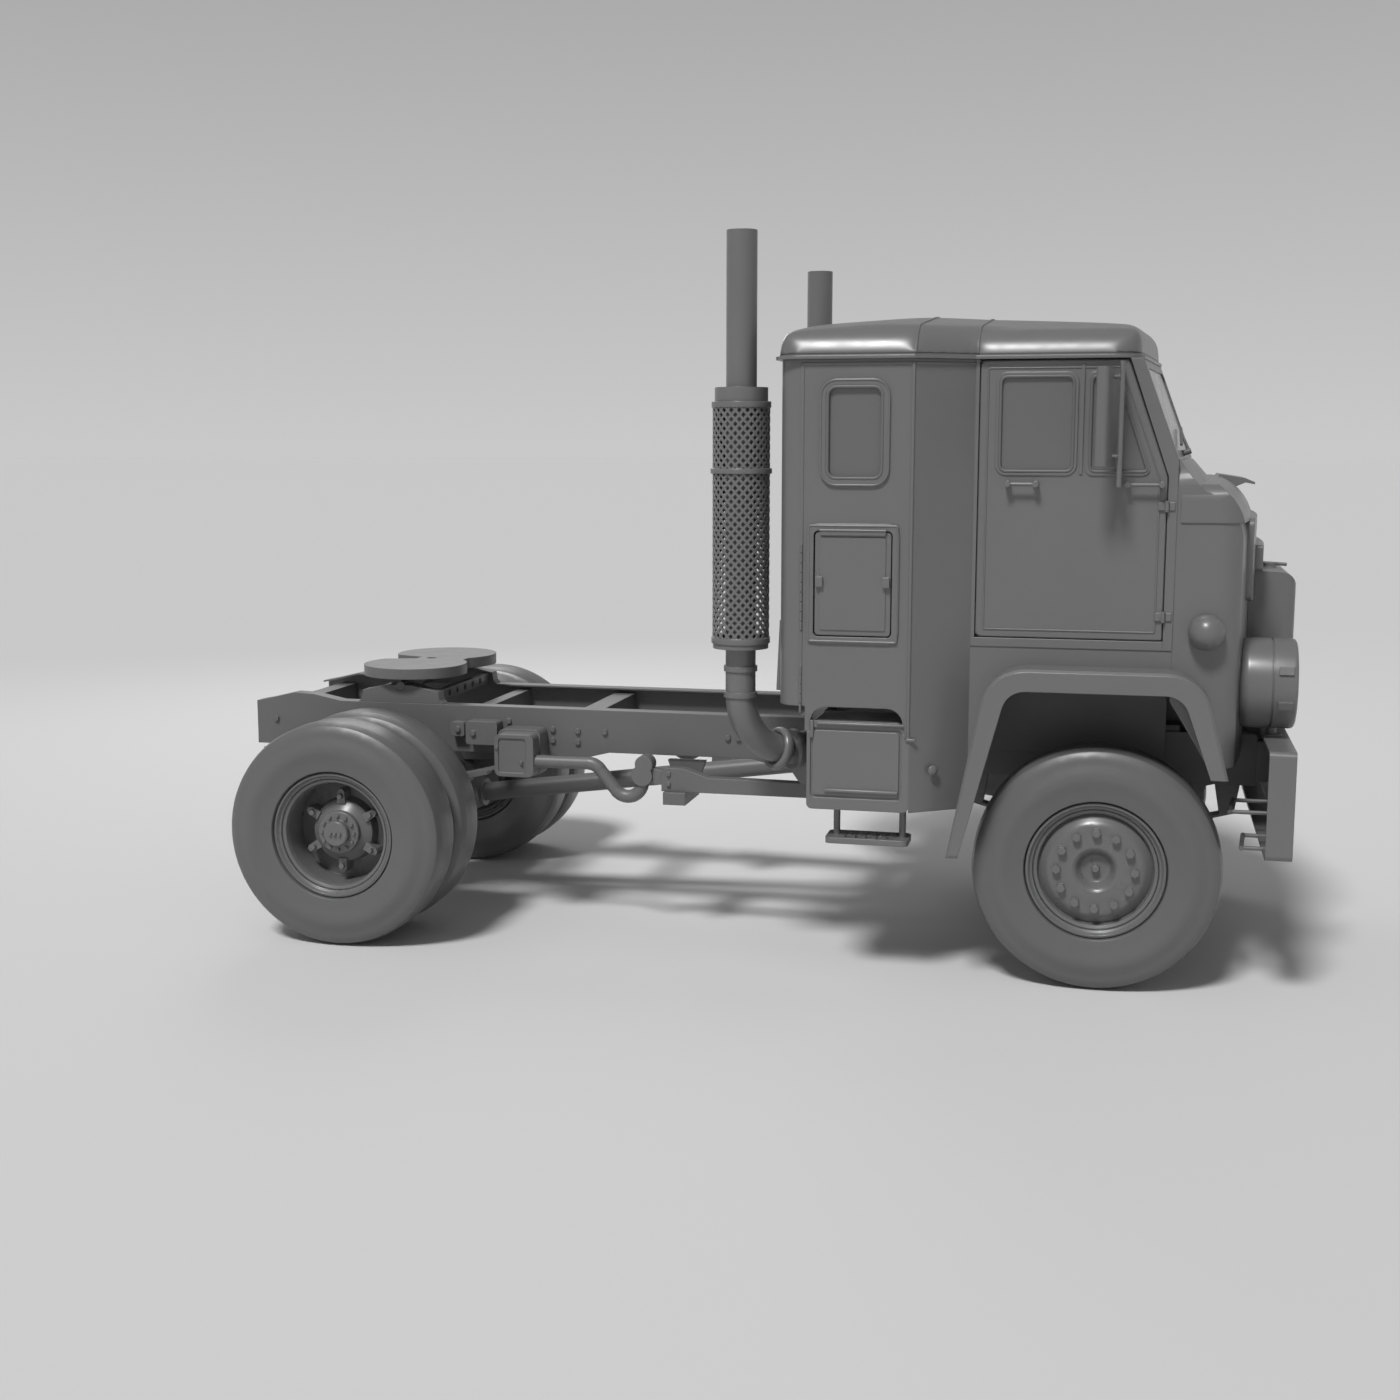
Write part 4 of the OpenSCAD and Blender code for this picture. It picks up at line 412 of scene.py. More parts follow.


# Finishes: one dictionary each, tone is the grey of the paint

# dust film lift and tint, the lift that lightens edges as a painted highlight, grain reach and coat roughness
dustAndHighlight = {"dustLift": 1.5, "dustBlue": 1.48, "highlightLift": 1.25, "grainReach": 0.0015, "coatRoughness": 0.25}


def placeGroup(tree, group, values):
    node = tree.nodes.new("ShaderNodeGroup")
    node.node_tree = group
    for socketName, value in values.items():
        node.inputs[socketName].default_value = value
    return node


def greyFinish(name, look):
    material = bpy.data.materials.new(name)
    material.use_nodes = True
    tree = material.node_tree
    shader = tree.nodes["Principled BSDF"]
    tone = look["tone"]
    grain = placeGroup(tree, primerGrain, {
        "Tone": (tone, tone, tone * look.get("coolness", 1.0), 1), "Mottle": look["mottle"],
        "Roughness": look["roughness"], "Grain Scale": look["grainScale"]})
    film = (tone * dustAndHighlight["dustLift"], tone * dustAndHighlight["dustLift"], tone * dustAndHighlight["dustBlue"], 1)
    dust = placeGroup(tree, settledDust, {"Amount": look["dust"], "Film": film})
    edge = placeGroup(tree, softEdge, {"Radius": look["edgeRadius"]})
    # painted highlight: the edges are mixed toward a paler grey, by the soft-edge mark times each look's edge share
    highlightMix = tree.nodes.new("ShaderNodeMix")
    highlightMix.data_type = "RGBA"
    highlightTone = tone * dustAndHighlight["highlightLift"]
    highlightMix.inputs["B"].default_value = (highlightTone, highlightTone, highlightTone, 1)
    highlightShare = mathNode(tree, "MULTIPLY", look["edgeHighlight"])
    bump = tree.nodes.new("ShaderNodeBump")
    bump.inputs["Strength"].default_value = look["grainDepth"]
    bump.inputs["Distance"].default_value = dustAndHighlight["grainReach"]
    link = tree.links.new
    link(grain.outputs["Color"], dust.inputs["Color"])
    link(edge.outputs["Edge"], highlightShare.inputs[0])
    link(highlightShare.outputs[0], highlightMix.inputs["Factor"])
    link(dust.outputs["Color"], highlightMix.inputs["A"])
    link(highlightMix.outputs["Result"], shader.inputs["Base Color"])
    link(grain.outputs["Roughness"], shader.inputs["Roughness"])
    link(grain.outputs["Height"], bump.inputs["Height"])
    link(edge.outputs["Normal"], bump.inputs["Normal"])
    link(bump.outputs["Normal"], shader.inputs["Normal"])
    shader.inputs["Metallic"].default_value = look.get("metallic", 0.0)
    shader.inputs["Coat Weight"].default_value = look.get("coat", 0.0)
    shader.inputs["Coat Roughness"].default_value = dustAndHighlight["coatRoughness"]
    shader.inputs["Specular IOR Level"].default_value = look.get("specular", 0.5)
    return material


# each look's edge share sets how far its edges are lightened as a painted highlight
finishLooks = {
    "body_paint": {"tone": 0.138, "mottle": 0.10, "roughness": 0.33, "grainScale": 700, "grainDepth": 0.04,
                   "edgeRadius": 0.006, "edgeHighlight": 0.45, "dust": 0.08, "coat": 0.15},
    "chassis_paint": {"tone": 0.124, "mottle": 0.16, "roughness": 0.40, "grainScale": 420, "grainDepth": 0.08,
                      "edgeRadius": 0.005, "edgeHighlight": 0.35, "dust": 0.20},
    "wheel_paint": {"tone": 0.130, "mottle": 0.12, "roughness": 0.30, "grainScale": 600, "grainDepth": 0.05,
                    "edgeRadius": 0.005, "edgeHighlight": 0.35, "dust": 0.10, "coat": 0.12},
    "cast_grey": {"tone": 0.130, "mottle": 0.20, "roughness": 0.42, "grainScale": 230, "grainDepth": 0.18,
                  "edgeRadius": 0.006, "edgeHighlight": 0.35, "dust": 0.20},
    "pipe": {"tone": 0.155, "mottle": 0.18, "roughness": 0.34, "grainScale": 520, "grainDepth": 0.06,
             "edgeRadius": 0.003, "edgeHighlight": 0.25, "dust": 0.06, "metallic": 0.15},
    "trim": {"tone": 0.136, "mottle": 0.10, "roughness": 0.34, "grainScale": 800, "grainDepth": 0.04,
             "edgeRadius": 0.004, "edgeHighlight": 0.30, "dust": 0.06, "coat": 0.15},
    "black_trim": {"tone": 0.124, "mottle": 0.12, "roughness": 0.50, "grainScale": 500, "grainDepth": 0.08,
                   "edgeRadius": 0.002, "edgeHighlight": 0.15, "dust": 0.08},
    "interior": {"tone": 0.120, "mottle": 0.10, "roughness": 0.60, "grainScale": 320, "grainDepth": 0.14,
                 "edgeRadius": 0.006, "edgeHighlight": 0.12, "dust": 0.06},
    "upholstery": {"tone": 0.100, "mottle": 0.22, "roughness": 0.78, "grainScale": 950, "grainDepth": 0.40,
                   "edgeRadius": 0.004, "edgeHighlight": 0.10, "dust": 0.04, "specular": 0.25},
    "tyre": {"tone": 0.112, "mottle": 0.14, "roughness": 0.38, "grainScale": 480, "grainDepth": 0.08,
             "edgeRadius": 0.008, "edgeHighlight": 0.12, "dust": 0.12},
    "window": {"tone": 0.118, "mottle": 0.04, "roughness": 0.18, "grainScale": 60, "grainDepth": 0.005,
               "edgeRadius": 0.002, "edgeHighlight": 0.0, "dust": 0.02, "coat": 0.35, "coolness": 1.02},
}
finishes = {slotName: greyFinish(slotName + "Finish", look) for slotName, look in finishLooks.items()}


# The CAD nodes as they are, merged and smoothed, each in its own finish

nodeSlots = {
    "body_paint": ["bumper", "nose", "cab_sides", "sleeper_sides", "sleeper_back", "lockers",
                   "door_right", "door_left", "hatch_right", "hatch_left"],
    "chassis_paint": ["frame_rails", "crossmembers", "cab_floor", "fifth_wheel_base"],
    "cast_grey": ["suspension", "axles", "powertrain", "fifth_wheel_plate", "knuckle_right", "knuckle_left",
                  "tie_rod"],
    "wheel_paint": ["front_wheel_right", "front_wheel_left", "rear_wheel_right", "rear_wheel_left"],
    "tyre": ["front_tyre_right", "front_tyre_left", "rear_tyres_right", "rear_tyres_left"],
    "pipe": ["exhaust_stacks"],
    "trim": ["headlamps", "side_lamps", "grille", "mirror_right", "mirror_left"],
    "black_trim": ["wipers", "steering_wheel"],
    "interior": ["dashboard"],
    "window": ["fixed_glass", "door_glass_right", "door_glass_left"],
}


def mergedCopy(node):
    # a copy of the node whose triangles share their corners
    makeActive(frame["nodes"][node])
    bpy.ops.object.duplicate()
    piece = bpy.context.object
    piece.name = node + "_dressed"
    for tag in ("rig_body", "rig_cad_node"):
        del piece[tag]
    if piece.data.has_custom_normals:
        bpy.ops.mesh.customdata_custom_splitnormals_clear()
    editAll(piece)
    bpy.ops.mesh.remove_doubles(threshold=weldGap)
    leaveEdit()
    return piece


def evenShade(piece):
    # smooth rounds and flat panels
    smoothTo(piece, panelAngle)
    weighted = piece.modifiers.new("flatPanels", "WEIGHTED_NORMAL")
    weighted.keep_sharp = True
    applyModifiers(piece)


def dressedCopy(node, slotName):
    piece = mergedCopy(node)
    evenShade(piece)
    settle(piece, node, slotName, [node])


# Fender flares, with a chamfered outer edge

flare = {"outer": 1.2, "axle": 1.7245, "middle": 0.70, "chamfer": 0.021, "flatAngle": 0.5, "bandTilt": 0.5,
         "near": 0.0005}


def makeFlares():
    piece = mergedCopy("fender_flares")
    editAll(piece)
    bpy.ops.mesh.dissolve_limited(angle_limit=math.radians(flare["flatAngle"]))
    leaveEdit()
    points = piece.data.vertices
    facing = {}
    for face in piece.data.polygons:
        for key in face.edge_keys:
            facing.setdefault(key, []).append(face)
    # the rim edges lie between the outer face and the band that looks away from the axle
    rim = set()
    for key, faces in facing.items():
        onOuter = all(abs(abs(points[index].co.y) - flare["outer"]) < flare["near"] for index in key)
        if len(faces) != 2 or not onOuter:
            continue
        for face in faces:
            away = face.center - Vector((flare["axle"], face.center.y, flare["middle"]))
            if abs(face.normal.y) < flare["bandTilt"] and face.normal.dot(away) > 0:
                rim.add(key)
    clearMarks(piece, "EDGE")
    for edge in piece.data.edges:
        edge.select = edge.key in rim
    enterEdit()
    bpy.ops.mesh.bevel(offset=flare["chamfer"], segments=1, affect="EDGES", clamp_overlap=True)
    leaveEdit()
    evenShade(piece)
    settle(piece, "fender_flares", "body_paint", ["fender_flares"])
    print("flares chamfered on", len(rim), "edges")


makeFlares()


# Heat guards: a diamond lattice between three bands

guard = {"x": 0.1345, "y": 1.0, "low": 1.493, "high": 2.564, "radius": 0.128, "columns": 22, "rows": 27,
         "strand": 0.0058, "sheet": 0.004, "bandSides": 56, "bandWall": 0.012, "bandEdge": 0.003,
         "bands": [(1.493, 1.521, 0.132), (2.248, 2.272, 0.1365), (2.536, 2.564, 0.132)]}


def openTube(low, high, radius, sides):
    # the wall of a cylinder, without its ends
    freshStart()
    bpy.ops.mesh.primitive_cylinder_add(vertices=sides, radius=radius, depth=high - low,
                                        location=(0, 0, (low + high) / 2), end_fill_type="NOTHING")
    tube = bpy.context.object
    applyPlace(tube)
    return tube


def guardBand(low, high, radius):
    hoop = openTube(low, high, radius, guard["bandSides"])
    thicken(hoop, guard["bandWall"])
    roundEdges(hoop, guard["bandEdge"])
    return hoop


def isLevel(a, b):
    return abs(a.z - b.z) < tiny


def cellSide(a, b):
    # the sides of the lattice's square cells, apart from its two end rings
    upright = (a.xy - b.xy).length < tiny
    atEnd = min(a.z - guard["low"], guard["high"] - a.z) < tiny
    return upright or (isLevel(a, b) and not atEnd)


def makeGuards():
    lattice = openTube(guard["low"], guard["high"], guard["radius"], guard["columns"])
    editEdges(lattice, lambda a, b: not isLevel(a, b))
    bpy.ops.mesh.subdivide(number_cuts=guard["rows"] - 1)
    # a point in every cell, then the cells' own sides are dissolved and diamonds are left
    bpy.ops.mesh.select_mode(type="FACE")
    bpy.ops.mesh.select_all(action="SELECT")
    bpy.ops.mesh.poke()
    editEdges(lattice, cellSide)
    bpy.ops.mesh.dissolve_edges(use_verts=False)
    editFaces(lattice, lambda face: len(face.vertices) == 4)
    bpy.ops.mesh.inset(thickness=guard["strand"], use_individual=True, use_boundary=True)
    bpy.ops.mesh.delete(type="FACE")
    leaveEdit()
    thicken(lattice, guard["sheet"])
    right = joined([lattice] + [guardBand(*size) for size in guard["bands"]], "heatGuards")
    pair = patterned(right, [(guard["x"], side * guard["y"], 0) for side in (-1, 1)], "heatGuards")
    smoothTo(pair, turnedAngle)
    settle(pair, "heat_shields", "pipe", ["heat_shields"])
    print("heat guards", len(pair.data.polygons), "faces")


makeGuards()


# Clamp round the foot of each exhaust bend, a little before its flange

clamp = {"x": 0.1345, "y": -1.0, "foot": 0.980, "bend": 0.280, "turn": 45, "before": 15, "radius": 0.084,
         "bead": 0.018, "widen": 1.35, "stepsRound": 56, "stepsAcross": 14}


def makeClamps():
    back = math.radians(clamp["before"])
    turn = math.radians(clamp["turn"])
    along = clamp["bend"] * (1 - math.sin(back))
    height = clamp["foot"] + clamp["bend"] * (1 - math.cos(back))
    freshStart()
    bpy.ops.mesh.primitive_torus_add(major_radius=clamp["radius"], minor_radius=clamp["bead"],
                                     major_segments=clamp["stepsRound"], minor_segments=clamp["stepsAcross"])
    right = bpy.context.object
    right.scale = (1, 1, clamp["widen"])
    right.rotation_euler = (0, math.pi / 2 + back, turn)
    right.location = (clamp["x"] + along * math.cos(turn), clamp["y"] + along * math.sin(turn), height)
    applyPlace(right)
    pair = joined([right, mirrored(right)], "stackClamps")
    smoothTo(pair, turnedAngle)
    settle(pair, "exhaust_stacks", "pipe")
    print("stack clamps", len(pair.data.polygons), "faces")


makeClamps()


# Strips round an opening or an edge: a ring of corners, rounded, drawn in and raised

strips = {
    "sleeperRubber": {"corners": [(0.5465, 2.226), (0.7965, 2.226), (0.7965, 2.627), (0.5465, 2.627)], "radius": 0.045,
                      "width": 0.015, "from": 1.193, "to": 1.2135, "on": "fixed_glass", "slot": "black_trim"},
    "sleeperBead": {"corners": [(0.5205, 2.200), (0.8225, 2.200), (0.8225, 2.653), (0.5205, 2.653)], "radius": 0.072,
                    "width": 0.010, "from": 1.199, "to": 1.2135, "on": "sleeper_sides", "slot": "body_paint"},
    "hatchFrame": {"corners": [(0.4735, 1.528), (0.8665, 1.528), (0.8665, 2.037), (0.4735, 2.037)], "radius": 0.012,
                   "width": 0.011, "from": 1.199, "to": 1.2125, "on": "sleeper_sides", "slot": "body_paint"},
    "doorRubber": {"corners": [(1.2615, 2.257), (1.5815, 2.257), (1.5815, 2.669), (1.2615, 2.669)], "radius": 0.035,
                   "width": 0.014, "from": 1.023, "to": 1.0385, "on": "door", "slot": "black_trim"},
    "quarterRubber": {"corners": [(1.6395, 2.257), (1.8960, 2.257), (1.7545, 2.669), (1.6395, 2.669)], "radius": 0.030,
                      "width": 0.013, "from": 1.023, "to": 1.0385, "on": "door", "slot": "black_trim"},
    "doorLip": {"corners": [(1.2125, 1.583), (1.9395, 1.583), (1.9395, 2.2355), (1.7722, 2.701), (1.2125, 2.701)],
                "radius": 0.012, "width": 0.007, "from": 1.0295, "to": 1.0335, "on": "door", "slot": "body_paint"},
    "doorSeal": {"corners": [(1.1800, 1.5505), (1.9695, 1.5505), (1.9695, 2.2408), (1.7937, 2.7310), (1.1800, 2.7310)],
                 "radius": 0.026, "width": 0.0055, "from": 1.004, "to": 1.0215, "on": "door", "slot": "body_paint"},
}
stripEdge = {"cornerSteps": 6, "share": 0.42, "steps": 3, "angle": 50}  # share is of the thinner way through


def edgeStrip(look):
    freshStart()
    bpy.ops.mesh.primitive_circle_add(vertices=len(look["corners"]), fill_type="NGON")
    strip = bpy.context.object
    for index, (x, z) in enumerate(look["corners"]):
        movePoint(strip, index, (x, -look["from"], z))
    editAll(strip)
    bpy.ops.mesh.bevel(offset=look["radius"], segments=stripEdge["cornerSteps"], affect="VERTICES")
    bpy.ops.mesh.select_mode(type="FACE")
    bpy.ops.mesh.select_all(action="SELECT")
    bpy.ops.mesh.inset(thickness=look["width"], use_boundary=True)
    bpy.ops.mesh.delete(type="FACE")
    bpy.ops.mesh.select_all(action="SELECT")
    push(y=look["from"] - look["to"])
    leaveEdit()
    outwardFaces(strip)
    thinner = min(look["width"], look["to"] - look["from"])
    roundEdges(strip, thinner * stripEdge["share"], stripEdge["steps"], stripEdge["angle"])
    smoothTo(strip, stripEdge["angle"])
    return strip


def makeStrips():
    for name, look in strips.items():
        right = edgeStrip(look)
        left = mirrored(right)
        if look["on"] == "door":
            for piece, side in ((right, "right"), (left, "left")):
                piece.name = name + side.title()
                settle(piece, "door_" + side, look["slot"])
        else:
            settle(joined([right, left], name), look["on"], look["slot"])
    print("strips", len(strips))


makeStrips()


# Sleeper trim: corner rail with its foot, rear seam with hinge knuckles, a belt below the gutter, locker bar and pull

trim = {
    "side": 1.2, "frontEdge": 0.9245, "shoulderEnd": (1.1625, 1.03),
    # each bar: low and high X, how far proud and how far sunk, low and high Z, edge radius
    "bars": {
        "rearSeam": (0.4380, 0.4530, 0.0035, 0.003, 1.250, 2.722, 0.003),
        "cornerRail": (0.9115, 0.9255, 0.0080, 0.003, 1.115, 2.722, 0.004),
        "railFoot": (0.9085, 0.9525, 0.0100, 0.002, 1.105, 1.119, 0.004),
        "belt": (0.4455, 0.9245, 0.0050, 0.003, 2.709, 2.722, 0.0025),
        "lockerBar": (0.5185, 0.9045, 0.0120, 0.003, 1.166, 1.180, 0.006),
        "rearStrap": (0.4910, 0.5060, 0.0100, 0.003, 1.108, 1.186, 0.004),
        "frontStrap": (0.9040, 0.9125, 0.0100, 0.003, 1.119, 1.186, 0.003),
        "lidLip": (0.5550, 0.8800, 0.0110, 0.003, 0.868, 0.884, 0.006),
    },
    "knuckles": {"x": 0.4455, "proud": 0.004, "ranges": [(1.575, 1.990), (1.215, 1.460)], "pitch": 0.042,
                 "radius": 0.0055, "sides": 16, "fillOfPitch": 0.86, "lip": 0.0018, "stretch": 1.1},
    # a ring of the knob: how much it grows and how far it rises
    "knob": {"x": 1.012, "z": 0.975, "sides": 24, "radius": 0.008, "depth": 0.006, "lift": 0.001, "smooth": 60,
             "rings": [(0.42, 0.0), (1.0, 0.010), (2.4, 0.004), (1.25, 0.005), (0.8, 0.005), (0.45, 0.003)]},
}


def knuckleRow():
    # one barrel with a waist, copied up the seam
    look = trim["knuckles"]
    pitch = look["pitch"]
    freshStart()
    bpy.ops.mesh.primitive_cylinder_add(vertices=look["sides"], radius=look["radius"],
                                        depth=pitch * look["fillOfPitch"])
    barrel = bpy.context.object
    editFaces(barrel, lambda face: abs(face.normal.z) > squareOn)
    bpy.ops.mesh.inset(thickness=look["lip"])
    push()
    bpy.ops.transform.resize(value=(1, 1, look["stretch"]), center_override=(0, 0, 0))
    leaveEdit()
    places = [(look["x"], -trim["side"] - look["proud"], low + pitch * (i + 0.5))
              for low, high in look["ranges"] for i in range(int((high - low) / pitch))]
    row = patterned(barrel, places, "knuckles")
    smoothTo(row, turnedAngle)
    return row


def pullKnob():
    # ball on a stalk that stands out of the shoulder panel
    look = trim["knob"]
    endX, endY = trim["shoulderEnd"]
    slope = math.atan2(trim["side"] - endY, endX - trim["frontEdge"])
    footY = -trim["side"] + (look["x"] - trim["frontEdge"]) * math.tan(slope)
    freshStart()
    bpy.ops.mesh.primitive_cylinder_add(vertices=look["sides"], radius=look["radius"], depth=look["depth"],
                                        location=(0, 0, look["lift"]))
    knob = bpy.context.object
    applyPlace(knob)
    for grow, rise in look["rings"]:
        top = max(point.co.z for point in knob.data.vertices)
        editFaces(knob, lambda face: face.normal.z > squareOn and face.center.z > top - tiny)
        push(z=rise)
        bpy.ops.transform.resize(value=(grow, grow, 1))
        leaveEdit()
    smoothTo(knob, look["smooth"])
    knob.rotation_euler = (math.radians(90), 0, slope)
    knob.location = (look["x"], footY, look["z"])
    applyPlace(knob)
    return knob


def trimBar(lowX, highX, proud, sunk, lowZ, highZ, edge):
    return slab((lowX, -trim["side"] - proud, lowZ), (highX, -trim["side"] + sunk, highZ), edge)


def shoulderBelt():
    # the belt's last length, along the slanting shoulder
    proud, sunk, low, high, edge = trim["bars"]["belt"][2:]
    endX, endY = trim["shoulderEnd"]
    span = Vector((endX - trim["frontEdge"], trim["side"] - endY, 0))
    half = span.length / 2
    belt = slab((-half, -proud, low), (half, sunk, high), edge)
    belt.location = ((endX + trim["frontEdge"]) / 2, -(trim["side"] + endY) / 2, 0)
    belt.rotation_euler = (0, 0, math.atan2(span.y, span.x))
    applyPlace(belt)
    return belt


def makeTrim():
    bars = [trimBar(*size) for size in trim["bars"].values()]
    right = joined(bars + [shoulderBelt(), knuckleRow(), pullKnob()], "sleeperTrim")
    smoothTo(right, turnedAngle)
    pair = joined([right, mirrored(right)], "sleeperTrim")
    settle(pair, "sleeper_sides", "body_paint")
    print("sleeper trim", len(pair.data.polygons), "faces")


makeTrim()


# Roof: the gutter as it is; the crown's skin is bridged over its middle, thickened, remeshed and eased

roof = {"cut": 2.757, "middle": 0.245, "skin": 0.020, "voxel": 0.013, "rounds": 60, "bindFrom": 0.004, "bind": 0.035,
        "heart": ((0.65, 1.60), 0.6, 2.55), "bridgeCuts": 15, "sweep": 0.0840, "browDepth": 0.10, "column": 0.005,
        "near": 0.0002,
        # seams: where along X, half their width, how far proud
        "seams": [0.9245, 1.1700], "seamHalf": 0.0045, "seamProud": 0.0045, "seamAngle": 30}


def looksOut(face):
    # true on the outer skin: away from the roof's heart
    (lowX, highX), wide, z = roof["heart"]
    at = face.center
    heart = Vector((min(highX, max(lowX, at.x)), min(wide, max(-wide, at.y)), z))
    return face.normal.dot(at - heart) > 0


def roofCrown():
    crown = mergedCopy("roof")
    editFaces(crown, lambda face: not looksOut(face))
    bpy.ops.mesh.delete(type="FACE")
    leaveEdit()
    editAll(crown)
    bpy.ops.mesh.bisect(plane_co=(0, 0, roof["cut"]), plane_no=(0, 0, 1), clear_inner=True)
    leaveEdit()
    for y in (-roof["middle"], roof["middle"]):
        editAll(crown)
        bpy.ops.mesh.bisect(plane_co=(0, y, 0), plane_no=(0, 1, 0))
        leaveEdit()
    editFaces(crown, lambda face: abs(face.center.y) < roof["middle"])
    bpy.ops.mesh.delete(type="FACE")
    leaveEdit()
    editEdges(crown, lambda a, b: all(abs(abs(point.y) - roof["middle"]) < roof["near"] for point in (a, b)))
    bpy.ops.mesh.bridge_edge_loops(number_cuts=roof["bridgeCuts"])
    leaveEdit()
    # the swept fronts meet at the middle, so its column comes forward and takes its neighbours along
    brow = max(point.co.x for point in crown.data.vertices if abs(point.co.y) < roof["column"])
    editPoints(crown, lambda at: abs(at.y) < roof["column"] and at.x > brow - roof["browDepth"])
    bpy.ops.transform.translate(value=(roof["middle"] * roof["sweep"], 0, 0), use_proportional_edit=True,
                                proportional_edit_falloff="LINEAR", proportional_size=roof["middle"])
    leaveEdit()
    outwardFaces(crown)
    return crown


def roofSeam(crown, station):
    # a thin slice of the eased crown's outer skin, thickened outward
    strip = copied(crown, (0, 0, 0))
    for offset, isLow in ((-roof["seamHalf"], True), (roof["seamHalf"], False)):
        editAll(strip)
        bpy.ops.mesh.bisect(plane_co=(station + offset, 0, 0), plane_no=(1, 0, 0), clear_inner=isLow,
                            clear_outer=not isLow)
        leaveEdit()
    editFaces(strip, lambda face: not looksOut(face))
    bpy.ops.mesh.delete(type="FACE")
    leaveEdit()
    thicken(strip, roof["seamProud"], 1)
    return strip


def makeRoof():
    gutter = mergedCopy("roof")
    editAll(gutter)
    bpy.ops.mesh.bisect(plane_co=(0, 0, roof["cut"]), plane_no=(0, 0, 1), clear_outer=True)
    leaveEdit()
    crown = roofCrown()
    thicken(crown, roof["skin"])
    crown.data.remesh_voxel_size = roof["voxel"]
    makeActive(crown)
    bpy.ops.object.voxel_remesh()
    loose = crown.vertex_groups.new(name="loose")
    for point in crown.data.vertices:
        share = min(1.0, max(0.0, (point.co.z - roof["cut"] - roof["bindFrom"]) / roof["bind"]))
        loose.add([point.index], share, "REPLACE")
    ease = crown.modifiers.new("ease", "SMOOTH")
    ease.iterations = roof["rounds"]
    ease.vertex_group = "loose"
    applyModifiers(crown)
    crown.vertex_groups.clear()
    seams = joined([roofSeam(crown, station) for station in roof["seams"]], "roofSeams")
    smoothTo(seams, roof["seamAngle"])
    settle(seams, "roof", "body_paint")
    makeActive(crown)
    bpy.ops.object.shade_smooth()
    evenShade(gutter)
    whole = joined([gutter, crown], "roofWhole")
    settle(whole, "roof", "body_paint", ["roof"])
    print("roof", len(whole.data.polygons), "faces, seams", len(seams.data.polygons))


makeRoof()


# Cushions: remeshed, blown up as cloth, channelled and subdivided

padding = {"quickRounds": 12, "frames": 20, "quality": 5, "pressure": 4, "evenRounds": 2}


def blowUp(piece, rest, cap):
    # cloth under pressure, with the swelling held to its cap
    cloth = piece.modifiers.new("fill", "CLOTH")
    cloth.settings.use_pressure = True
    cloth.settings.uniform_pressure_force = padding["pressure"]
    cloth.settings.effector_weights.gravity = 0
    cloth.settings.vertex_group_mass = "held"
    cloth.settings.quality = padding["quality"]
    cloth.point_cache.frame_start = 1
    cloth.point_cache.frame_end = padding["frames"]
    for step in range(1, padding["frames"] + 1):
        bpy.context.scene.frame_set(step)
    applyModifiers(piece)
    bpy.context.scene.frame_set(1)
    for point, start in zip(piece.data.vertices, rest):
        moved = point.co - start
        if moved.length > cap:
            point.co = start + moved * (cap / moved.length)


def softPad(piece, name, look):
    # look: voxel size, cap on the swelling, the points that are held, the channels and their depth, fill and node
    makeActive(piece)
    piece.name = name
    piece.data.remesh_voxel_size = look["voxel"]
    bpy.ops.object.voxel_remesh()
    rest = [point.co.copy() for point in piece.data.vertices]
    held = piece.vertex_groups.new(name="held")
    held.add([i for i, co in enumerate(rest) if look["isHeld"](co)], 1.0, "REPLACE")
    blowUp(piece, rest, look["cap"])
    for inChannel in look["channels"]:
        editPoints(piece, inChannel)
        bpy.ops.transform.shrink_fatten(value=-look["channelDepth"])
        leaveEdit()
    even = piece.modifiers.new("even", "SMOOTH")
    even.iterations = padding["evenRounds"]
    fine = piece.modifiers.new("fine", "SUBSURF")
    fine.levels = fine.render_levels = 1
    applyModifiers(piece)
    makeActive(piece)
    bpy.ops.object.shade_smooth()
    settle(piece, look["node"], "upholstery", [look["node"]])


# Seats: a cushion and a leaning back on a pedestal, measured from the floor below the back

seat = {"at": (1.1245, 0.62, 1.49), "half": 0.228, "round": 0.032, "voxel": 0.009, "cap": 0.012, "fill": 0.7,
        "cushion": ((0.03, 0.255), (0.51, 0.380)), "cushionTop": 0.392, "cushionHeld": 0.006,
        "back": [(0.012, 0.410), (0.138, 0.410), (-0.055, 0.990), (0.050, 0.992)], "backHeld": 0.008, "lean": 0.15,
        # channels: where they run, how far they reach, their half width and depth
        "wingChannel": 0.155, "cushionChannels": (0.16, 0.28, 0.40), "backChannels": (0.56, 0.70, 0.84),
        "channelReach": 0.15, "channelHalf": 0.005, "skinDepth": 0.05, "cushionDepth": 0.010, "backDepth": 0.009}
pedestal = {"middle": (0.26, 0.10), "size": (0.34, 0.34, 0.20), "waist": 0.03, "neck": 0.03, "spread": 1.35,
            "flange": 0.0245, "edge": 0.006}
sideNames = {-1: "Right", 1: "Left"}


def seatOrigin(side):
    return seat["at"][0], side * seat["at"][1], seat["at"][2]


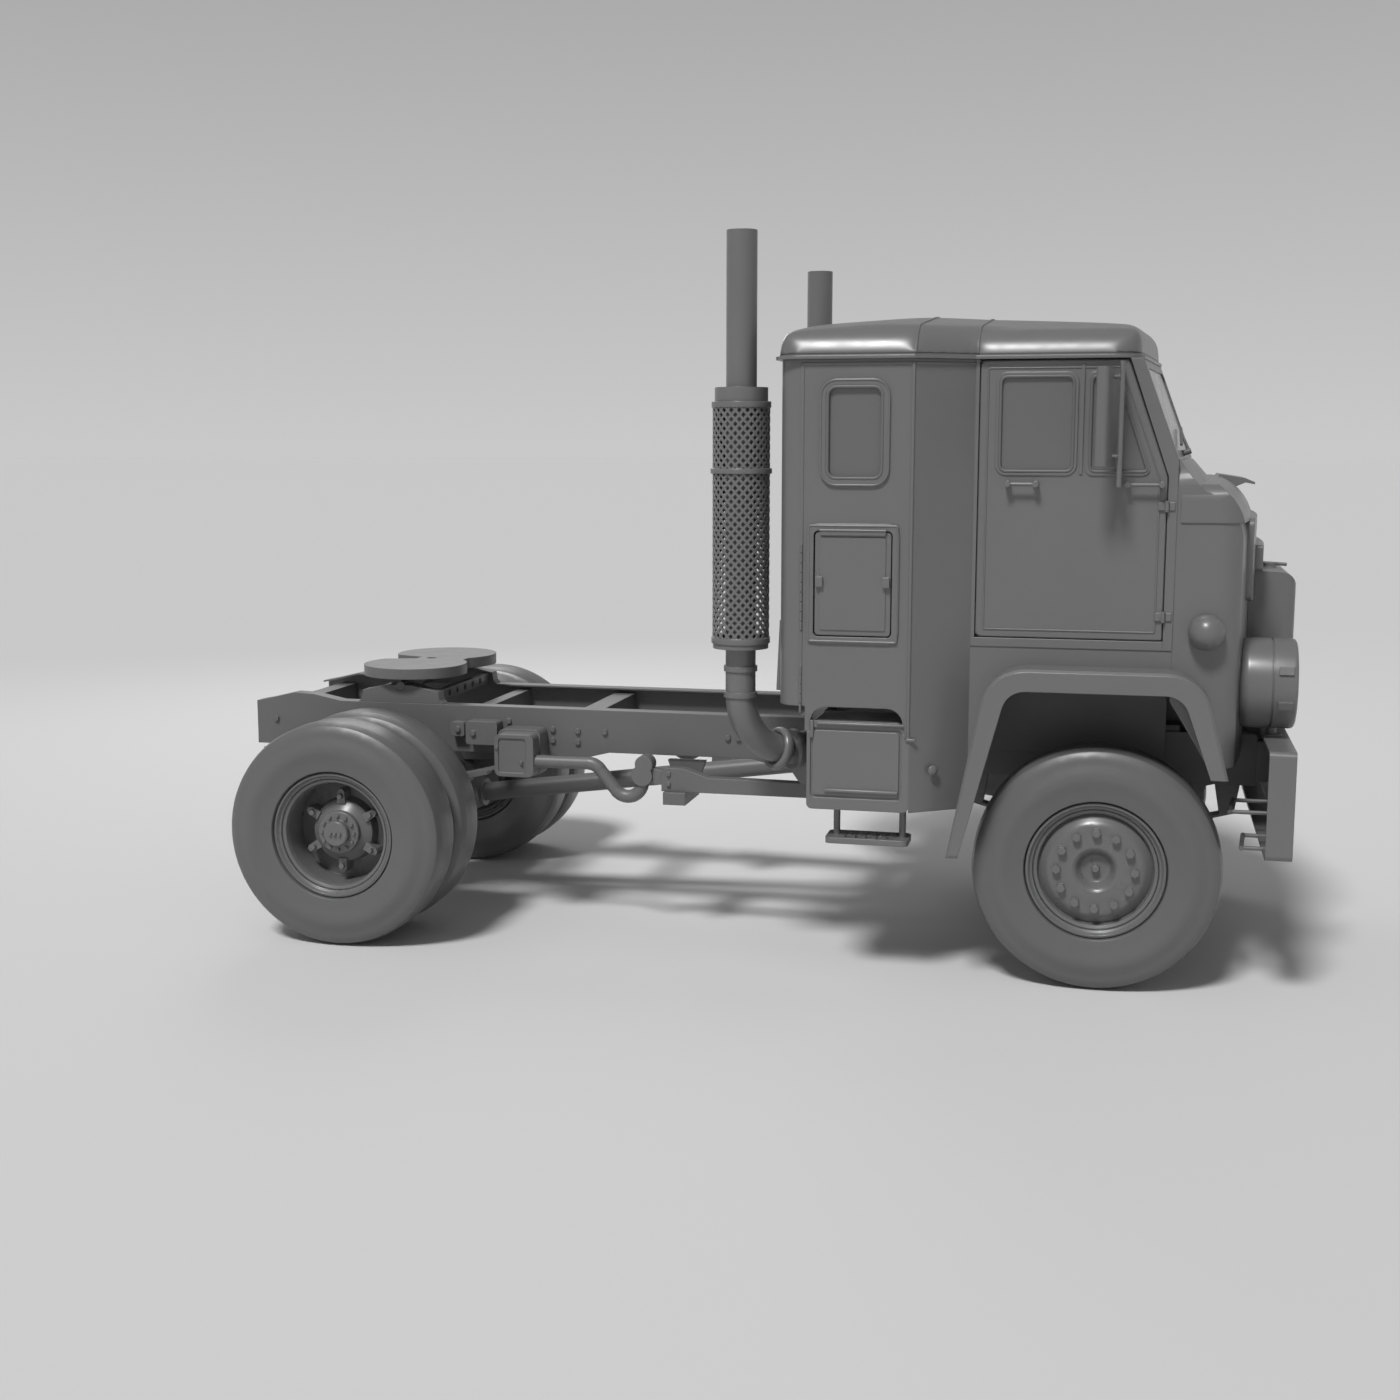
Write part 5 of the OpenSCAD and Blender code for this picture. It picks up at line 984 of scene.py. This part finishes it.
def seatCushion(side):
    x0, y0, z0 = seatOrigin(side)
    (lowX, lowZ), (highX, highZ) = seat["cushion"]
    pad = slab((x0 + lowX, y0 - seat["half"], z0 + lowZ), (x0 + highX, y0 + seat["half"], z0 + highZ), seat["round"])

    def onTop(co):
        return co.z > z0 + seat["cushionTop"] - seat["skinDepth"]

    def inWing(co):
        return onTop(co) and abs(abs(co.y - y0) - seat["wingChannel"]) < seat["channelHalf"]

    def crossing(at):
        return lambda co: (onTop(co) and abs(co.y - y0) < seat["channelReach"]
                           and abs(co.x - x0 - at) < seat["channelHalf"])

    softPad(pad, "seatCushion" + sideNames[side], {
        "voxel": seat["voxel"], "cap": seat["cap"], "fill": seat["fill"], "node": "seats",
        "isHeld": lambda co: co.z < z0 + lowZ + seat["cushionHeld"],
        "channelDepth": seat["cushionDepth"], "channels": [inWing] + [crossing(at) for at in seat["cushionChannels"]]})


def seatBack(side):
    x0, y0, z0 = seatOrigin(side)
    frontX, footZ = seat["back"][1]
    freshStart()
    bpy.ops.mesh.primitive_plane_add(size=1)
    pad = bpy.context.object
    for index, (x, z) in enumerate(seat["back"]):
        movePoint(pad, index, (x0 + x, y0 - seat["half"], z0 + z))
    editAll(pad)
    push(y=2 * seat["half"])
    leaveEdit()
    outwardFaces(pad)
    roundEdges(pad, seat["round"])

    def onFront(co):
        return co.x > x0 + frontX - seat["lean"] * (co.z - z0 - footZ) - seat["skinDepth"]

    def crossing(at):
        return lambda co: (onFront(co) and abs(co.y - y0) < seat["channelReach"]
                           and abs(co.z - z0 - at) < seat["channelHalf"])

    softPad(pad, "seatBack" + sideNames[side], {
        "voxel": seat["voxel"], "cap": seat["cap"], "fill": seat["fill"], "node": "seats",
        "isHeld": lambda co: co.z < z0 + footZ + seat["backHeld"],
        "channelDepth": seat["backDepth"], "channels": [crossing(at) for at in seat["backChannels"]]})


def seatPedestal(side):
    # box section with a drawn-in waist and a flange under the cushion
    x0, y0, z0 = seatOrigin(side)
    midX, midZ = pedestal["middle"]
    freshStart()
    bpy.ops.mesh.primitive_cube_add(size=1, location=(x0 + midX, y0, z0 + midZ))
    stand = bpy.context.object
    bpy.ops.transform.resize(value=pedestal["size"])
    applyPlace(stand)
    editFaces(stand, lambda face: face.normal.z > squareOn)
    bpy.ops.mesh.inset(thickness=pedestal["waist"])
    push(z=pedestal["neck"])
    push()
    bpy.ops.transform.resize(value=(pedestal["spread"], pedestal["spread"], 1))
    push(z=pedestal["flange"])
    leaveEdit()
    outwardFaces(stand)
    roundEdges(stand, pedestal["edge"])
    smoothTo(stand, turnedAngle)
    return stand


def makeSeats():
    stands = joined([seatPedestal(side) for side in sideNames], "seatPedestals")
    settle(stands, "seats", "interior", ["seats"])
    for side in sideNames:
        seatCushion(side)
        seatBack(side)
    print("seats padded")


makeSeats()


# Bunk: a board hollowed from below, and a mattress with tufted cross channels

bunk = {"board": ((0.3825, -1.092, 2.030), (0.9245, 1.092, 2.060)), "boardEdge": 0.006, "lip": 0.05, "hollow": 0.014,
        "panelArea": 0.1,
        "mattress": ((0.405, -1.058, 2.061), (0.902, 1.058, 2.178)), "round": 0.035, "voxel": 0.014, "cap": 0.016,
        "fill": 0.6, "held": 0.008,
        "channels": (-0.72, -0.36, 0.0, 0.36, 0.72), "channelHalf": 0.008, "channelDepth": 0.012, "skinDepth": 0.03,
        "channelEnd": 0.05}


def makeBunk():
    board = slab(*bunk["board"], bunk["boardEdge"])
    editFaces(board, lambda face: face.normal.z < -squareOn and face.area > bunk["panelArea"])
    bpy.ops.mesh.inset(thickness=bunk["lip"])
    push(z=bunk["hollow"])
    leaveEdit()
    outwardFaces(board)
    smoothTo(board, turnedAngle)
    board.name = "bunkBoard"
    settle(board, "bunk", "interior", ["bunk"])
    low, high = bunk["mattress"]

    def crossing(at):
        return lambda co: (co.z > high[2] - bunk["skinDepth"] and abs(co.y - at) < bunk["channelHalf"]
                           and low[0] + bunk["channelEnd"] < co.x < high[0] - bunk["channelEnd"])

    softPad(slab(low, high, bunk["round"]), "bunkMattress", {
        "voxel": bunk["voxel"], "cap": bunk["cap"], "fill": bunk["fill"], "node": "bunk",
        "isHeld": lambda co: co.z < low[2] + bunk["held"],
        "channelDepth": bunk["channelDepth"], "channels": [crossing(at) for at in bunk["channels"]]})
    print("bunk padded")


makeBunk()


# Everything else keeps its CAD form

for slotName, nodes in nodeSlots.items():
    for node in nodes:
        dressedCopy(node, slotName)
    print("dressed", slotName, len(nodes))


# Floor, light and camera

studio = {"floorTone": 0.62, "floorSize": 400, "floorDrop": 0.0005, "floorRoughness": 0.75,
          "horizon": 0.58, "zenith": 0.24, "bandTop": 0.45}


def makeStudio():
    freshStart()
    bpy.ops.mesh.primitive_plane_add(size=studio["floorSize"], location=(0, 0, cadLow.z - studio["floorDrop"]))
    floor = bpy.context.object
    floor.name = "studioFloor"
    paper = bpy.data.materials.new("floorPaper")
    paper.use_nodes = True
    shader = paper.node_tree.nodes["Principled BSDF"]
    tone = studio["floorTone"]
    shader.inputs["Base Color"].default_value = (tone, tone, tone, 1)
    shader.inputs["Roughness"].default_value = studio["floorRoughness"]
    floor.data.materials.append(paper)
    world = bpy.data.worlds.new("studioSky")
    bpy.context.scene.world = world
    world.use_nodes = True
    tree = world.node_tree
    # pale at the horizon, where it meets the floor, and dimmer overhead
    direction = tree.nodes.new("ShaderNodeTexCoord")
    split = tree.nodes.new("ShaderNodeSeparateXYZ")
    fade = tree.nodes.new("ShaderNodeMapRange")
    fade.inputs["From Max"].default_value = studio["bandTop"]
    fade.inputs["To Min"].default_value = studio["horizon"]
    fade.inputs["To Max"].default_value = studio["zenith"]
    tree.links.new(direction.outputs["Generated"], split.inputs[0])
    tree.links.new(split.outputs["Z"], fade.inputs["Value"])
    tree.links.new(fade.outputs["Result"], tree.nodes["Background"].inputs["Color"])


lamps = {
    "keySun": {"kind": "SUN", "at": (-1.0, -5.0, 8.6), "aim": (0.3, 0, 1.3), "power": 2.7, "spread": 12},
    "rimPanel": {"kind": "AREA", "at": (-4.5, 7.5, 6.5), "aim": (0.2, 0, 1.6), "power": 150, "size": 4.0},
}


def addLamps():
    for name, lamp in lamps.items():
        bpy.ops.object.light_add(type=lamp["kind"], location=lamp["at"])
        light = bpy.context.object
        light.name = name
        light.data.energy = lamp["power"]
        if lamp["kind"] == "SUN":
            light.data.angle = math.radians(lamp["spread"])
        else:
            light.data.size = lamp["size"]
        away = Vector(lamp["aim"]) - Vector(lamp["at"])
        light.rotation_euler = away.to_track_quat("-Z", "Y").to_euler()


# The photograph's own viewpoint, in degrees, and its focal length in pixels of a 1400 pixel frame
viewpoint = {"at": (1.8233, -8.7460, 2.3977), "turn": 13.623, "down": 8.368, "focal": 1770.78, "frameWidth": 1400,
             "sensor": 36}


def addCamera():
    tilt = math.radians(90 - viewpoint["down"])
    bpy.ops.object.camera_add(location=viewpoint["at"], rotation=(tilt, 0, math.radians(viewpoint["turn"])))
    camera = bpy.context.object
    camera.data.sensor_width = viewpoint["sensor"]
    camera.data.lens = viewpoint["focal"] / viewpoint["frameWidth"] * viewpoint["sensor"]
    bpy.context.scene.camera = camera
    bpy.context.scene.view_settings.view_transform = "Standard"


makeStudio()
addLamps()
addCamera()
print("studio ready")
